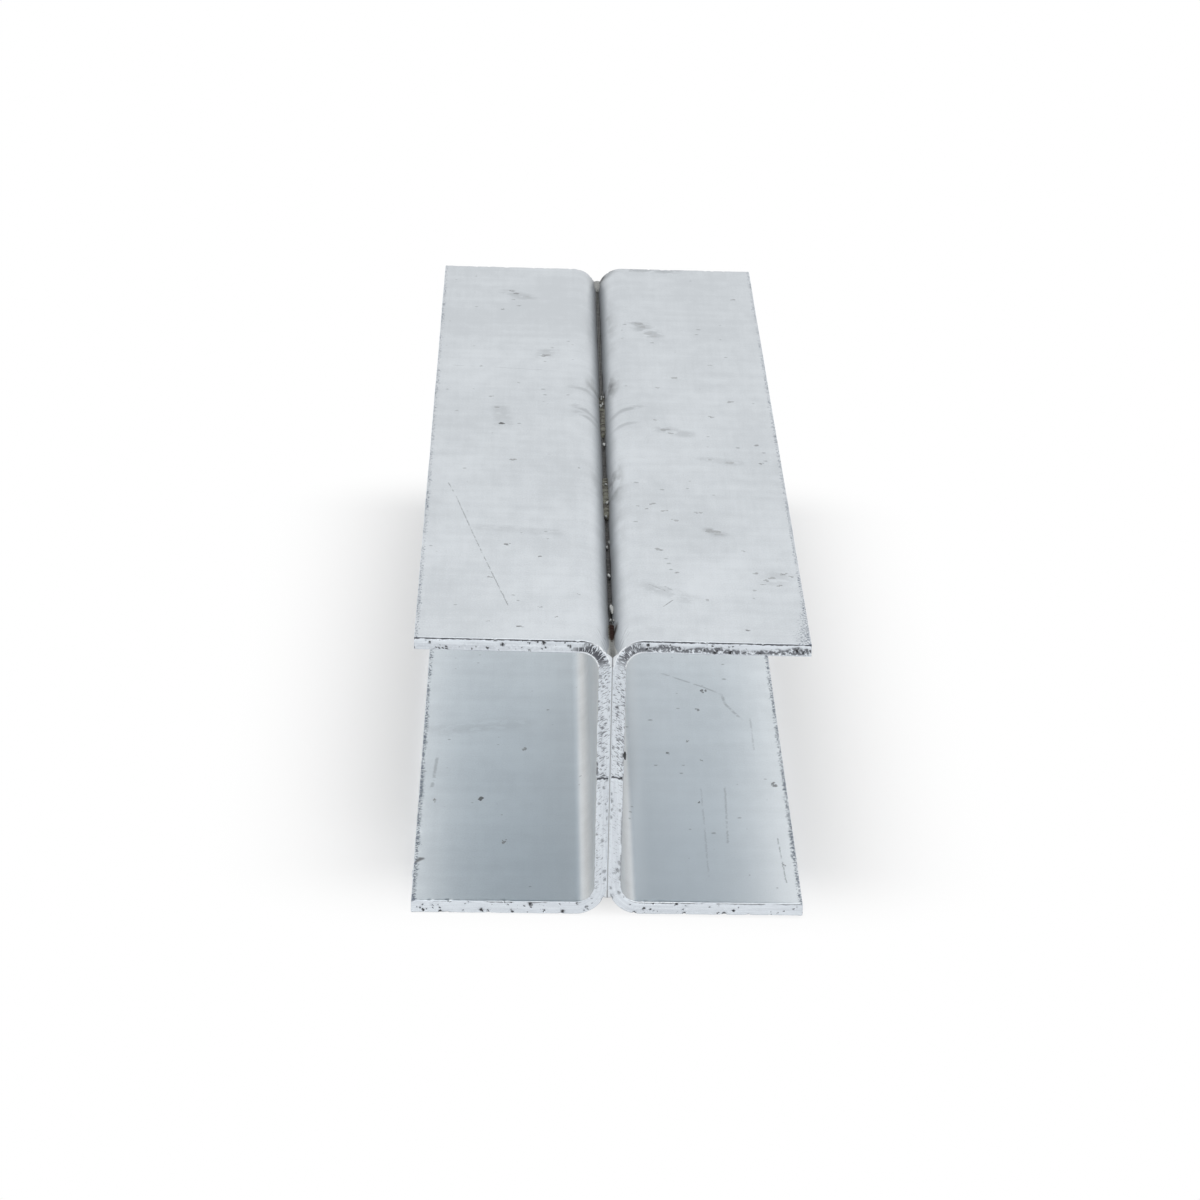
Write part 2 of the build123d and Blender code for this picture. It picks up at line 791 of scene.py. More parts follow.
def fold_tree(nicks: Sequence[Nick], name: str) -> Tree:
    """The tree that rounds, roughens and folds a flat blank.

    Args:
        nicks: the dents in the flange edges.
        name: the name of the tree.

    Returns:
        The tree, with the sizes of the fold as named inputs.
    """
    tree = Tree(
        name,
        "GeometryNodeTree",
        {
            "Geometry": bpy.types.Mesh, "Half blank": float, "Half length": float, "Plate": float,
            "Web": float, "Arc": float, "Outside radius": float, "Middle radius": float,
            "Seam": float, "Middle level": float, "Side": float, "Splay": float,
            "Edge round": float, "Wave height": float, "Rim roughness": float, "Pit depth": float,
            "Tear depth": float, "Band depth": float, "Step": float, "Seed": float,
            "Sheet": bpy.types.Material, "Cut": bpy.types.Material,
        },
        {"Geometry": bpy.types.Mesh},
    )
    point = tree.position()
    place = Place.read(
        tree, point, tree["Seed"], tree["Web"], tree["Arc"], tree["Half blank"], tree["Half length"],
    )
    rounding = tree["Edge round"]

    # Faces on the rim of the blank are cut steel, the rest is rolled sheet
    on_cut = tree.math("LESS_THAN", place.to_edge & place.to_end, rounding * 0.4)
    body = tree.step("GeometryNodeSetMaterial", tree["Geometry"], material=tree["Sheet"])
    body = tree.step("GeometryNodeSetMaterial", body, selection=on_cut, material=tree["Cut"])
    kept = tree.node("GeometryNodeStoreNamedAttribute", data_type="FLOAT_VECTOR", domain="POINT")
    tree.feed(kept.inputs["Geometry"], body)
    tree.feed(kept.inputs["Name"], BLANK)
    tree.feed(kept.inputs["Value"], point)

    # Rounded edges: the core of the box, grown again by the radius
    core = tree.join(
        (place.run | (rounding - tree["Half blank"])) & (tree["Half blank"] - rounding),
        (place.along | (rounding - tree["Half length"])) & (tree["Half length"] - rounding),
        (place.through | rounding) & (tree["Plate"] - rounding),
    )
    outward = tree.vector("NORMALIZE", tree.vector("SUBTRACT", point, core))

    # Relief of the zinc, in metres along the outward direction
    rim = tree.ramp(place.to_edge & place.to_end, 1.6 * MM, 0.2 * MM)
    on_end = tree.ramp(place.to_end, 0.5 * MM, 0.1 * MM)
    waves = (tree.noise(place.grain, 70 * MM) - 0.5) * tree["Wave height"]
    lumps = (tree.noise(place.grain, 2.2 * MM, 3.0) - 0.5) * tree["Rim roughness"] * rim
    pits = CUT_WEAR.pits(place) * tree["Pit depth"] * rim
    tears = (CUT_WEAR.tears(place) | CUT_WEAR.fan(place)) * tree["Tear depth"]
    seams = (CUT_WEAR.ledge(place) * 1.6 | CUT_WEAR.lip(place)) * tree["Tear depth"]
    torn = CUT_WEAR.ragged_band(place) * tree["Band depth"]
    lower = tree.ramp(place.run, 0.4 * MM, -0.4 * MM) * tree["Step"]
    relief = waves + lumps - pits - (tears + seams + torn + lower) * on_end
    for nick in nicks:
        edge = tree["Half blank"] * (1.0 if nick.upper else -1.0)
        middle = tree.join(edge, nick.along * MM, tree["Plate"] * 0.6)
        away = tree.vector("DISTANCE", point, middle, output="Value")
        relief = relief - tree.ramp(away, nick.radius * MM, nick.radius * 0.2 * MM) * (nick.depth * MM)
    rough = tree.vector("ADD", core, tree.scaled(outward, rounding + relief))

    # The fold itself
    run, along, through = tree.split(rough)
    reach = abs(run)
    turn = (tree.math("DIVIDE", reach - tree["Web"], tree["Middle radius"]) | 0.0) & (math.pi / 2)
    radius = tree["Outside radius"] - through
    flat = (reach - tree["Web"] - tree["Arc"]) | 0.0
    out = tree["Outside radius"] - radius * tree.math("COSINE", turn) + flat
    rise = (reach & tree["Web"]) + radius * tree.math("SINE", turn)
    rise = rise + flat * tree["Splay"]
    level = tree.math("SIGN", run) * rise + tree["Middle level"]
    folded = tree.join((out + tree["Seam"] * 0.5) * tree["Side"], along, level)
    body = tree.step("GeometryNodeSetPosition", Field(tree, kept.outputs[0]), position=folded)
    tree.give(geometry=tree.step("GeometryNodeSetShadeSmooth", body))
    return tree


@dataclass
class FoldedChannel:
    """One of the two folded channels, with rough cut ends and flange edges."""

    fold: Fold
    side: Side
    seed: float
    splay: float
    lift: float
    nicks: tuple[Nick, ...]
    band_depth: float
    edge_round: float = 0.3 * MM
    wave_height: float = 0.35 * MM
    rim_roughness: float = 0.22 * MM
    pit_depth: float = 0.45 * MM
    tear_depth: float = 0.22 * MM
    step: float = 0.15 * MM
    end_zone: float = 5.0 * MM
    edge_zone: float = 3.0 * MM
    end_cuts: int = 3
    edge_cuts: int = 6
    web_step: float = 2.2 * MM
    bend_step: float = 0.9 * MM
    flange_step: float = 2.4 * MM
    edge_step: float = 0.7 * MM
    middle_step: float = 7.0 * MM
    near_end_step: float = 2.5 * MM
    end_step: float = 0.6 * MM
    plate_step: float = 0.4 * MM

    def build(self, sheet: bpy.types.Material, cut: bpy.types.Material) -> bpy.types.Object:
        """Folds the blank and puts it in the place of its solid.

        Args:
            sheet: the finish of the rolled faces.
            cut: the finish of the cut ends and edges.

        Returns:
            The finished channel.
        """
        fold = self.fold
        label = self.side.label
        tree = fold_tree(self.nicks, f"fold_{label}_blank")
        mesh = tree.apply(f"{label}_zinc_channel", self.blank(), {
            "Half blank": fold.half, "Half length": fold.length / 2, "Plate": fold.plate,
            "Web": fold.web, "Arc": fold.arc, "Outside radius": fold.outside,
            "Middle radius": fold.middle, "Seam": fold.seam, "Middle level": fold.depth / 2 + self.lift,
            "Side": float(self.side.value), "Splay": self.splay, "Edge round": self.edge_round,
            "Wave height": self.wave_height, "Rim roughness": self.rim_roughness,
            "Pit depth": self.pit_depth, "Tear depth": self.tear_depth, "Band depth": self.band_depth,
            "Step": self.step, "Seed": self.seed, "Sheet": sheet, "Cut": cut,
        })
        return show(mesh.name, mesh, "zinc_steel", f"{label}_channel")

    def blank(self) -> bpy.types.Mesh:
        """The flat blank, divided finely near its cut ends and edges.

        Returns:
            The mesh of the blank.
        """
        fold = self.fold
        end = fold.length / 2
        round_step = self.edge_round / 3
        across = graded(
            (fold.web, self.web_step),
            (fold.web + fold.arc, self.bend_step),
            (fold.half - self.edge_zone, self.flange_step),
            (fold.half - self.edge_round, self.edge_step),
            (fold.half, round_step),
        )
        along = graded(
            (end - 4 * self.end_zone, self.middle_step),
            (end - self.end_zone, self.near_end_step),
            (end - self.edge_round, self.end_step),
            (end, round_step),
        )
        middle = fold.plate / 2
        through = graded((middle - self.edge_round, self.plate_step), (middle, round_step))
        levels = middle + both_ways(through)
        mesh = box_shell("blank", both_ways(across), both_ways(along), levels, self.side is Side.RIGHT)
        self.refine(mesh, 0, 1, end - self.end_zone, self.end_cuts)
        self.refine(mesh, 1, 0, fold.half - self.edge_zone, self.edge_cuts)
        return mesh

    @staticmethod
    def refine(mesh: bpy.types.Mesh, axis: int, zone_axis: int, zone_start: float, cuts: int) -> None:
        """Divides the edges that run along one axis, in the zones at both ends of another.

        Args:
            mesh: the blank.
            axis: the axis that the edges run along.
            zone_axis: the axis that the zones are measured along.
            zone_start: how far from 0 the zones begin.
            cuts: how often each edge is cut.
        """
        slack = 1e-7
        bm = bmesh.new()
        bm.from_mesh(mesh)
        chosen = []
        for edge in bm.edges:
            first, second = (vert.co for vert in edge.verts)
            length = abs(first[axis] - second[axis])
            straight = length > slack and (first - second).length - length < slack
            if straight and min(abs(first[zone_axis]), abs(second[zone_axis])) >= zone_start - slack:
                chosen.append(edge)
        bmesh.ops.subdivide_edges(bm, edges=chosen, cuts=cuts, use_grid_fill=True)
        bm.to_mesh(mesh)
        bm.free()


def bead_tree() -> Tree:
    """The tree that lays a rippled weld bead in a groove.

    Returns:
        The tree, which takes a box from -1 to 1 across, 0 to 1 upwards and at its true place along.
    """
    tree = Tree(
        "lay_weld_bead",
        "GeometryNodeTree",
        {
            "Geometry": bpy.types.Mesh, "Outside radius": float, "Seam": float, "Face level": float,
            "Root level": float, "Crown level": float, "Crown rise": float, "Start": float,
            "End": float, "Stop length": float, "Ripple pitch": float, "Ripple height": float,
            "Lump height": float, "Front": float, "Rear": float, "Climb": float, "Climb length": float,
            "Rear rise": float, "Turn": float, "Material": bpy.types.Material,
        },
        {"Geometry": bpy.types.Mesh},
    )
    across, along, up = tree.split(tree.position())
    pulled = along + across * across * tree["Ripple pitch"] * 0.6
    ripple = tree.math("SINE", pulled / tree["Ripple pitch"] * (2 * math.pi)) * tree["Ripple height"]
    spot = tree.join(across * 0.8 * MM, along, 0.0)
    lumps = (tree.noise(spot, 3.2 * MM, 3.0) - 0.5) * tree["Lump height"]
    started = tree.ramp(along, tree["Start"], tree["Start"] + tree["Stop length"])
    stopped = tree.ramp(along, tree["End"], tree["End"] - tree["Stop length"])
    near_start = tree.ramp(along, tree["Front"] + tree["Climb length"], tree["Front"])
    near_end = tree.ramp(along, tree["Rear"] - tree["Climb length"], tree["Rear"])
    near = near_start | near_end
    crown = tree["Crown level"] - across * across * tree["Crown rise"]
    crown = crown + (ripple + lumps) * (1.0 - near * 0.8)
    crown = crown + abs(across) * near_start * tree["Climb"] + near_end * tree["Rear rise"]
    top = tree["Root level"] + (crown - tree["Root level"]) * started * stopped
    level = tree["Root level"] + (top - tree["Root level"]) * up
    radius = tree["Outside radius"]
    above = radius - (tree["Face level"] - level)
    wall = tree.math("SQRT", radius * radius - above * above)
    into_wall = 0.25 * MM
    half = tree["Seam"] * 0.5 + radius - wall + into_wall
    middle = tree["Face level"] * 0.5
    laid = tree.join(across * half, along, middle + (level - middle) * tree["Turn"])
    body = tree.step("GeometryNodeSetPosition", tree["Geometry"], position=laid)
    body = tree.step("GeometryNodeSetMaterial", body, material=tree["Material"])
    tree.give(geometry=tree.step("GeometryNodeSetShadeSmooth", body))
    return tree


@dataclass
class StitchWelds:
    """The rippled weld beads in both grooves."""

    fold: Fold
    count: int = 4
    crown_rise: float = 0.3 * MM
    stop_length: float = 3.0 * MM
    ripple_pitch: float = 1.9 * MM
    ripple_height: float = 0.10 * MM
    lump_height: float = 0.9 * MM
    top_climb: float = 2.0 * MM
    bottom_climb: float = 0.2 * MM
    rear_rise: float = 0.7 * MM
    climb_length: float = 16.0 * MM
    spacing: float = 0.35 * MM
    across_stations: int = 13
    up_stations: int = 6

    def build(self, metal: bpy.types.Material) -> None:
        """Lays every bead in the place of its solid.

        Args:
            metal: the finish of the beads.
        """
        tree = bead_tree()
        for groove in Groove:
            for number in range(1, self.count + 1):
                self.lay(tree, groove, number, metal)

    def lay(self, tree: Tree, groove: Groove, number: int, metal: bpy.types.Material) -> bpy.types.Object:
        """Lays one bead.

        Args:
            tree: the tree that lays a bead.
            groove: the groove that it lies in.
            number: its number from the front.
            metal: its finish.

        Returns:
            The finished bead.
        """
        fold = self.fold
        node = f"{groove.label}_stitch_weld_{number}"
        # A lower bead is the upper one with its number, turned over
        low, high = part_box(f"top_stitch_weld_{number}")
        end = fold.length / 2
        across = np.linspace(-1, 1, self.across_stations)
        along = np.arange(low[1], high[1], self.spacing)
        along = np.append(along[:-1], high[1])
        up = np.linspace(0, 1, self.up_stations)
        blank = box_shell(node, across, along, up, groove is Groove.BOTTOM)
        flush_start = low[1] < -end + MM
        flush_end = high[1] > end - MM
        climb = self.top_climb if groove is Groove.TOP else self.bottom_climb
        mesh = tree.apply(f"{groove.label}_weld_bead_{number}", blank, {
            "Outside radius": fold.outside, "Seam": fold.seam, "Face level": fold.depth,
            "Root level": low[2], "Crown level": high[2], "Crown rise": self.crown_rise,
            "Start": low[1] - (self.stop_length if flush_start else 0.0),
            "End": high[1] + (self.stop_length if flush_end else 0.0),
            "Stop length": self.stop_length, "Ripple pitch": self.ripple_pitch,
            "Ripple height": self.ripple_height, "Lump height": self.lump_height,
            "Front": -end, "Rear": end, "Climb": climb, "Climb length": self.climb_length,
            "Rear rise": self.rear_rise, "Turn": float(groove.value), "Material": metal,
        })
        return show(mesh.name, mesh, "weld_steel", node)


def lump_places(spots: list[Vector], sizes: list[Vector], tones: list[float]) -> bpy.types.Mesh:
    """Points for lumps.

    Args:
        spots: where they are.
        sizes: the half sizes of the lumps.
        tones: how dark each one is, from 0 to 1.

    Returns:
        A mesh of loose points with their sizes and tones.
    """
    points = bpy.data.meshes.new("lump_places")
    points.from_pydata(spots, [], [])
    size = points.attributes.new(LUMP_SIZE, "FLOAT_VECTOR", "POINT")
    size.data.foreach_set("vector", np.array(sizes, dtype=np.float32).ravel())
    tone = points.attributes.new(LUMP_DARKNESS, "FLOAT", "POINT")
    tone.data.foreach_set("value", np.array(tones, dtype=np.float32))
    return points


def lump_tree(name: str, fineness: int, pieces: int) -> Tree:
    """The tree that turns each point into a cluster of ragged lumps of about the size that it carries.

    Args:
        name: the name of the tree.
        fineness: how often each ball is subdivided.
        pieces: how many lumps a cluster has.

    Returns:
        The tree.
    """
    tree = Tree(
        name,
        "GeometryNodeTree",
        {
            "Geometry": bpy.types.Mesh, "Raggedness": float, "Grain": float,
            "Material": bpy.types.Material,
        },
        {"Geometry": bpy.types.Mesh},
    )
    carried = tree.node("GeometryNodeInputNamedAttribute", data_type="FLOAT_VECTOR")
    carried.inputs["Name"].default_value = LUMP_SIZE
    size = Field(tree, carried.outputs[0])
    chance = tree.node("FunctionNodeRandomValue", data_type="FLOAT_VECTOR")
    chance.inputs["Min"].default_value = (-0.9, -0.9, 0.3)
    chance.inputs["Max"].default_value = (0.9, 0.9, 0.8)
    chance.inputs["Seed"].default_value = LUMP_SEED
    aside, ahead, share = tree.split(Field(tree, chance.outputs[0]))

    points = tree.step("GeometryNodeDuplicateElements", tree["Geometry"], amount=pieces)
    points = tree.step("GeometryNodeSetPosition", points,
                       offset=tree.vector("MULTIPLY", size, tree.join(aside, ahead, 0.0)))
    ball = tree.node("GeometryNodeMeshIcoSphere")
    ball.inputs["Radius"].default_value = 1.0
    ball.inputs["Subdivisions"].default_value = fineness
    lumps = tree.step("GeometryNodeInstanceOnPoints", points, instance=Field(tree, ball.outputs["Mesh"]),
                      scale=tree.vector("MULTIPLY", size, tree.join(share, share, 1.0)))
    lumps = tree.step("GeometryNodeRealizeInstances", lumps)
    shake = tree.node("ShaderNodeTexNoise")
    tree.feed(shake.inputs["Vector"], tree.position())
    tree.feed(shake.inputs["Scale"], 1.0 / tree["Grain"])
    pushed = tree.vector("SUBTRACT", Field(tree, shake.outputs[1]), (0.5, 0.5, 0.5))
    pushed = tree.vector("MULTIPLY", pushed, (1.0, 1.0, 0.15))
    lumps = tree.step("GeometryNodeSetPosition", lumps, offset=tree.scaled(pushed, tree["Raggedness"]))
    lumps = tree.step("GeometryNodeSetMaterial", lumps, material=tree["Material"])
    tree.give(geometry=tree.step("GeometryNodeSetShadeSmooth", lumps))
    return tree


@dataclass(frozen=True)
class Drip:
    """A bead of zinc that froze in a groove, in millimetres."""

    along: float
    length: float
    width: float
    sink: float
    aside: float = 0.0


@dataclass
class ZincDrips:
    """Beads of zinc in the upper groove, and the same ones turned over in the lower one."""

    fold: Fold
    drips: tuple[Drip, ...]
    thickness: float = 0.55 * MM
    raggedness: float = 0.6 * MM
    grain: float = 1.6 * MM

    def build(self, zinc: bpy.types.Material) -> bpy.types.Object:
        """Drops a bead at each place.

        Args:
            zinc: the finish of the beads.

        Returns:
            All beads as one piece.
        """
        spots, sizes = [], []
        middle = self.fold.depth / 2
        for groove in Groove:
            for drip in self.drips:
                level = middle + groove.value * (middle - drip.sink * MM)
                spots.append(Vector((drip.aside * MM, drip.along * MM, level)))
                sizes.append(Vector((drip.width * MM / 2, drip.length * MM / 2, self.thickness)))
        points = lump_places(spots, sizes, [0.0] * len(spots))
        tree = lump_tree("drop_zinc_beads", fineness=4, pieces=3)
        mesh = tree.apply("groove_zinc_drips", points, {
            "Raggedness": self.raggedness, "Grain": self.grain, "Material": zinc,
        })
        return show(mesh.name, mesh, "zinc_steel")


@dataclass
class SeamZinc:
    """The zinc that bridges the seam: a film at either end of the post and one in each groove."""

    fold: Fold
    recess: float = 0.06 * MM
    overlap: float = 0.25 * MM
    reach: float = 9.0 * MM
    stop: float = 7.8 * MM
    groove_depth: float = 6.9 * MM
    groove_thickness: float = 1.6 * MM
    groove_lumps: float = 1.0 * MM
    groove_setback: float = 2.0 * MM
    groove_spacing: float = 0.7 * MM

    def close_ends(self, zinc: bpy.types.Material) -> None:
        """Fills the gap at both ends, as far in as the end stitches reach.

        Args:
            zinc: the finish of the films.
        """
        half = self.fold.seam / 2 + self.overlap
        up = graded((self.fold.depth - 2 * self.stop, 4 * MM)) + self.stop
        for name, sign in (("front_seam_film", -1), ("rear_seam_film", 1)):
            outer = sign * (self.fold.length / 2 - self.recess)
            along = np.linspace(*sorted((outer, outer - sign * self.reach)), 4)
            mesh = box_shell(name, np.array([-half, 0.0, half]), along, up, False)
            mesh.materials.append(zinc)
            show(name, mesh, "zinc_steel")

    def line_grooves(self, zinc: bpy.types.Material) -> None:
        """Runs a lumpy film along the root of each groove, under the stitch welds, which stands for soot
        and flux and, with its dark finish, for painted shade deep in the groove.

        Args:
            zinc: the finish of the films.
        """
        fold = self.fold
        tree = bead_tree()
        end = fold.length / 2 - self.groove_setback
        crown = fold.depth - self.groove_depth
        along = np.arange(-end, end, self.groove_spacing)
        for groove in Groove:
            name = f"{groove.label}_groove_film"
            flip = groove is Groove.BOTTOM
            blank = box_shell(name, np.linspace(-1, 1, 5), along, np.linspace(0, 1, 3), flip)
            mesh = tree.apply(name, blank, {
                "Outside radius": fold.outside, "Seam": fold.seam, "Face level": fold.depth,
                "Root level": crown - self.groove_thickness, "Crown level": crown,
                "Start": -fold.length, "End": fold.length, "Stop length": fold.length / 4,
                "Ripple pitch": fold.length, "Lump height": self.groove_lumps,
                "Front": -fold.length, "Rear": fold.length, "Climb length": MM,
                "Turn": float(groove.value), "Material": zinc,
            })
            show(name, mesh, "zinc_steel")


@dataclass(frozen=True)
class Mark:
    """A scratch or a smudge: a line of some width on one face, in millimetres of the post."""

    side: Side
    face: Face
    width: float
    strength: float
    path: tuple[tuple[float, float], ...]
    fades: bool = False


def mark(side: Side, face: Face, width: float, strength: float, *path: tuple[float, float]) -> Mark:
    """A scratch or a smudge through some points.

    Args:
        side: the channel that it is on.
        face: the face that it is on.
        width: its half width, a few millimetres for a smudge.
        strength: how dark it is, from 0 to 1.
        *path: its points, each a distance from the middle of the post and a place along it.

    Returns:
        The mark.
    """
    return Mark(side, face, width, strength, path)


def streak(side: Side, width: float, strength: float, *path: tuple[float, float]) -> Mark:
    """A smear beside a weld on top of the post, which fades to its ends.

    Args:
        side: the channel that it is on.
        width: its half width.
        strength: how dark it is, from 0 to 1.
        *path: its two ends, each a distance from the middle of the post and a place along it.

    Returns:
        The mark.
    """
    return Mark(side, Face.UPPER_OUTSIDE, width, strength, path, fades=True)


@dataclass(frozen=True)
class Speck:
    """A flake of dross on one face, in millimetres of the post."""

    side: Side
    face: Face
    across: float
    along: float
    radius: float
    darkness: float


def specks(side: Side, face: Face, *spots: tuple[float, float, float, float]) -> list[Speck]:
    """Flakes of dross on one face.

    Args:
        side: the channel that they are on.
        face: the face that they are on.
        *spots: for each its distance from the middle of the post, its place along it, its radius
            and how dark it is.

    Returns:
        The specks.
    """
    return [Speck(side, face, *spot) for spot in spots]


@dataclass
class DrossFlakes:
    """Thin ragged flakes of dross, frozen into the zinc of one channel."""

    fold: Fold
    channel: bpy.types.Object
    specks: tuple[Speck, ...]
    thickness: float = 0.10 * MM
    sink: float = 0.04 * MM
    inside_stretch: float = 1.9
    raggedness: float = 1.2 * MM
    grain: float = 0.9 * MM

    def build(self, name: str, dross: bpy.types.Material) -> bpy.types.Object:
        """Sets each flake on the surface under it.

        Args:
            name: the name of the piece.
            dross: the finish of the flakes.

        Returns:
            All flakes as one piece.
        """
        mesh = self.channel.data
        corners = [vert.co for vert in mesh.vertices]
        skin = BVHTree.FromPolygons(corners, [face.vertices for face in mesh.polygons])
        spots, sizes, tones = [], [], []
        for speck in self.specks:
            start = self.fold.depth * (1.5 if speck.face is Face.UPPER_OUTSIDE else 0.5)
            over = Vector((speck.side.value * speck.across * MM, speck.along * MM, start))
            hit, _, _, _ = skin.ray_cast(over, Vector((0, 0, -1)))
            spots.append(hit - Vector((0, 0, self.sink)))
            stretch = self.inside_stretch if speck.face is Face.LOWER_INSIDE else 1.0
            radius = speck.radius * MM
            sizes.append(Vector((radius / math.sqrt(stretch), radius * stretch, self.thickness)))
            tones.append(speck.darkness)
        tree = lump_tree("set_dross_flakes", fineness=3, pieces=5)
        flakes = tree.apply(name, lump_places(spots, sizes, tones), {
            "Raggedness": self.raggedness, "Grain": self.grain, "Material": dross,
        })
        return show(name, flakes, "zinc_steel")


@dataclass
class RimCrust:
    """A dark crust of dross on the inside rim of the right web, at its front end."""

    fold: Fold
    level: float = 51.5 * MM
    overhang: float = 0.05 * MM
    setback: float = 0.15 * MM
    half_size: tuple[float, float, float] = (0.38 * MM, 0.35 * MM, 1.35 * MM)
    darkness: float = 1.0
    raggedness: float = 0.7 * MM
    grain: float = 0.8 * MM

    def build(self, dross: bpy.types.Material) -> bpy.types.Object:
        """Hangs the crust on the rim.

        Args:
            dross: its finish.

        Returns:
            The finished crust.
        """
        rim = self.fold.seam / 2 + self.fold.plate + self.overhang
        spot = Vector((rim, self.setback - self.fold.length / 2, self.level))
        points = lump_places([spot], [Vector(self.half_size)], [self.darkness])
        tree = lump_tree("hang_rim_crust", fineness=4, pieces=4)
        mesh = tree.apply("web_rim_crust", points, {
            "Raggedness": self.raggedness, "Grain": self.grain, "Material": dross,
        })
        return show(mesh.name, mesh, "zinc_steel")


def mark_group() -> bpy.types.NodeTree:
    """The node group of a mark along a straight line.

    Returns:
        The group, whose mask is 1 on the line.
    """
    tree = Tree("straight_mark", "ShaderNodeTree",
                {"Point": Vector, "Start": Vector, "End": Vector, "Width": float, "Fade": float},
                {"Mask": float})
    from_start = tree.vector("SUBTRACT", tree["Point"], tree["Start"])
    line = tree.vector("SUBTRACT", tree["End"], tree["Start"])
    share = tree.math(
        "DIVIDE",
        tree.vector("DOT_PRODUCT", from_start, line, output="Value"),
        tree.vector("DOT_PRODUCT", line, line, output="Value"),
        clamp=True,
    )
    distance = tree.vector("DISTANCE", from_start, tree.scaled(line, share), output="Value")
    kept = 1.0 - tree["Fade"] * (1.0 - share * (1.0 - share) * 4.0)
    return tree.give(mask=tree.ramp(distance, tree["Width"], tree["Width"] * 0.2) * kept)


def mottle_group() -> bpy.types.NodeTree:
    """The node group of the clouds, rolling lines and grain that zinc sets with.

    Returns:
        The group, with the tone from dull to bright, the fine grain and the height.
    """
    tree = Tree("zinc_mottle", "ShaderNodeTree", {"Point": Vector},
                {"Tone": float, "Grain": float, "Height": float})
    run, along, through = tree.split(tree["Point"])
    apart = through * FACE_SPLIT
    spread = tree.join(run, along * 0.45, apart)
    clouds = tree.noise(spread, 30 * MM, 3.0)
    patches = tree.noise(spread, 5 * MM, 3.0)
    bands = tree.noise(tree.join(run * 0.14, along, apart), 7 * MM, 4.0)
    lines = tree.noise(tree.join(run, along * 0.03, apart), 1.6 * MM, 2.0)
    grain = tree.noise(spread, 0.5 * MM, 2.0)
    tone = clouds * 0.30 + patches * 0.18 + bands * 0.18 + lines * 0.08 + grain * 0.26
    height = patches * 0.40 + bands * 0.20 + lines * 0.12 + grain * 0.28
    return tree.give(tone=tone, grain=grain, height=height)


def speck_group() -> bpy.types.NodeTree:
    """The node group of small dark specks of dross, scattered and ragged.

    Returns:
        The group, whose mask is 1 in a speck.
    """
    tree = Tree("dross_specks", "ShaderNodeTree",
                {"Point": Vector, "Chance": float}, {"Mask": float})
    run, along, through = tree.split(tree["Point"])
    spread = tree.join(run + through * FACE_SPLIT, along, 0.0)
    ragged = tree.noise(spread, 0.9 * MM, 2.0)
    where = tree.ramp(tree.noise(spread, 34 * MM, 1.0), 0.40, 0.66)
    distance, chance = tree.cells(spread, 9 * MM)
    radius = tree.ramp(chance, 1.0 - tree["Chance"], 1.0) * where * 0.13
    mask = tree.ramp(distance + (ragged - 0.5) * 0.10, radius, radius * 0.3)
    return tree.give(mask=mask * tree.ramp(radius, 0.01, 0.05))


@dataclass(frozen=True)
class Groups:
    """The shader node groups that the finishes share."""

    mark: bpy.types.NodeTree
    mottle: bpy.types.NodeTree
    specks: bpy.types.NodeTree

    @classmethod
    def made(cls) -> "Groups":
        """Builds each group once."""
        return cls(mark_group(), mottle_group(), speck_group())


def cleared(owner: Union[bpy.types.Material, bpy.types.World]) -> bpy.types.NodeTree:
    """Empties the node tree of a material or a world.

    Args:
        owner: what the tree belongs to.

    Returns:
        The empty tree.
    """
    owner.use_nodes = True
    owner.node_tree.nodes.clear()
    return owner.node_tree


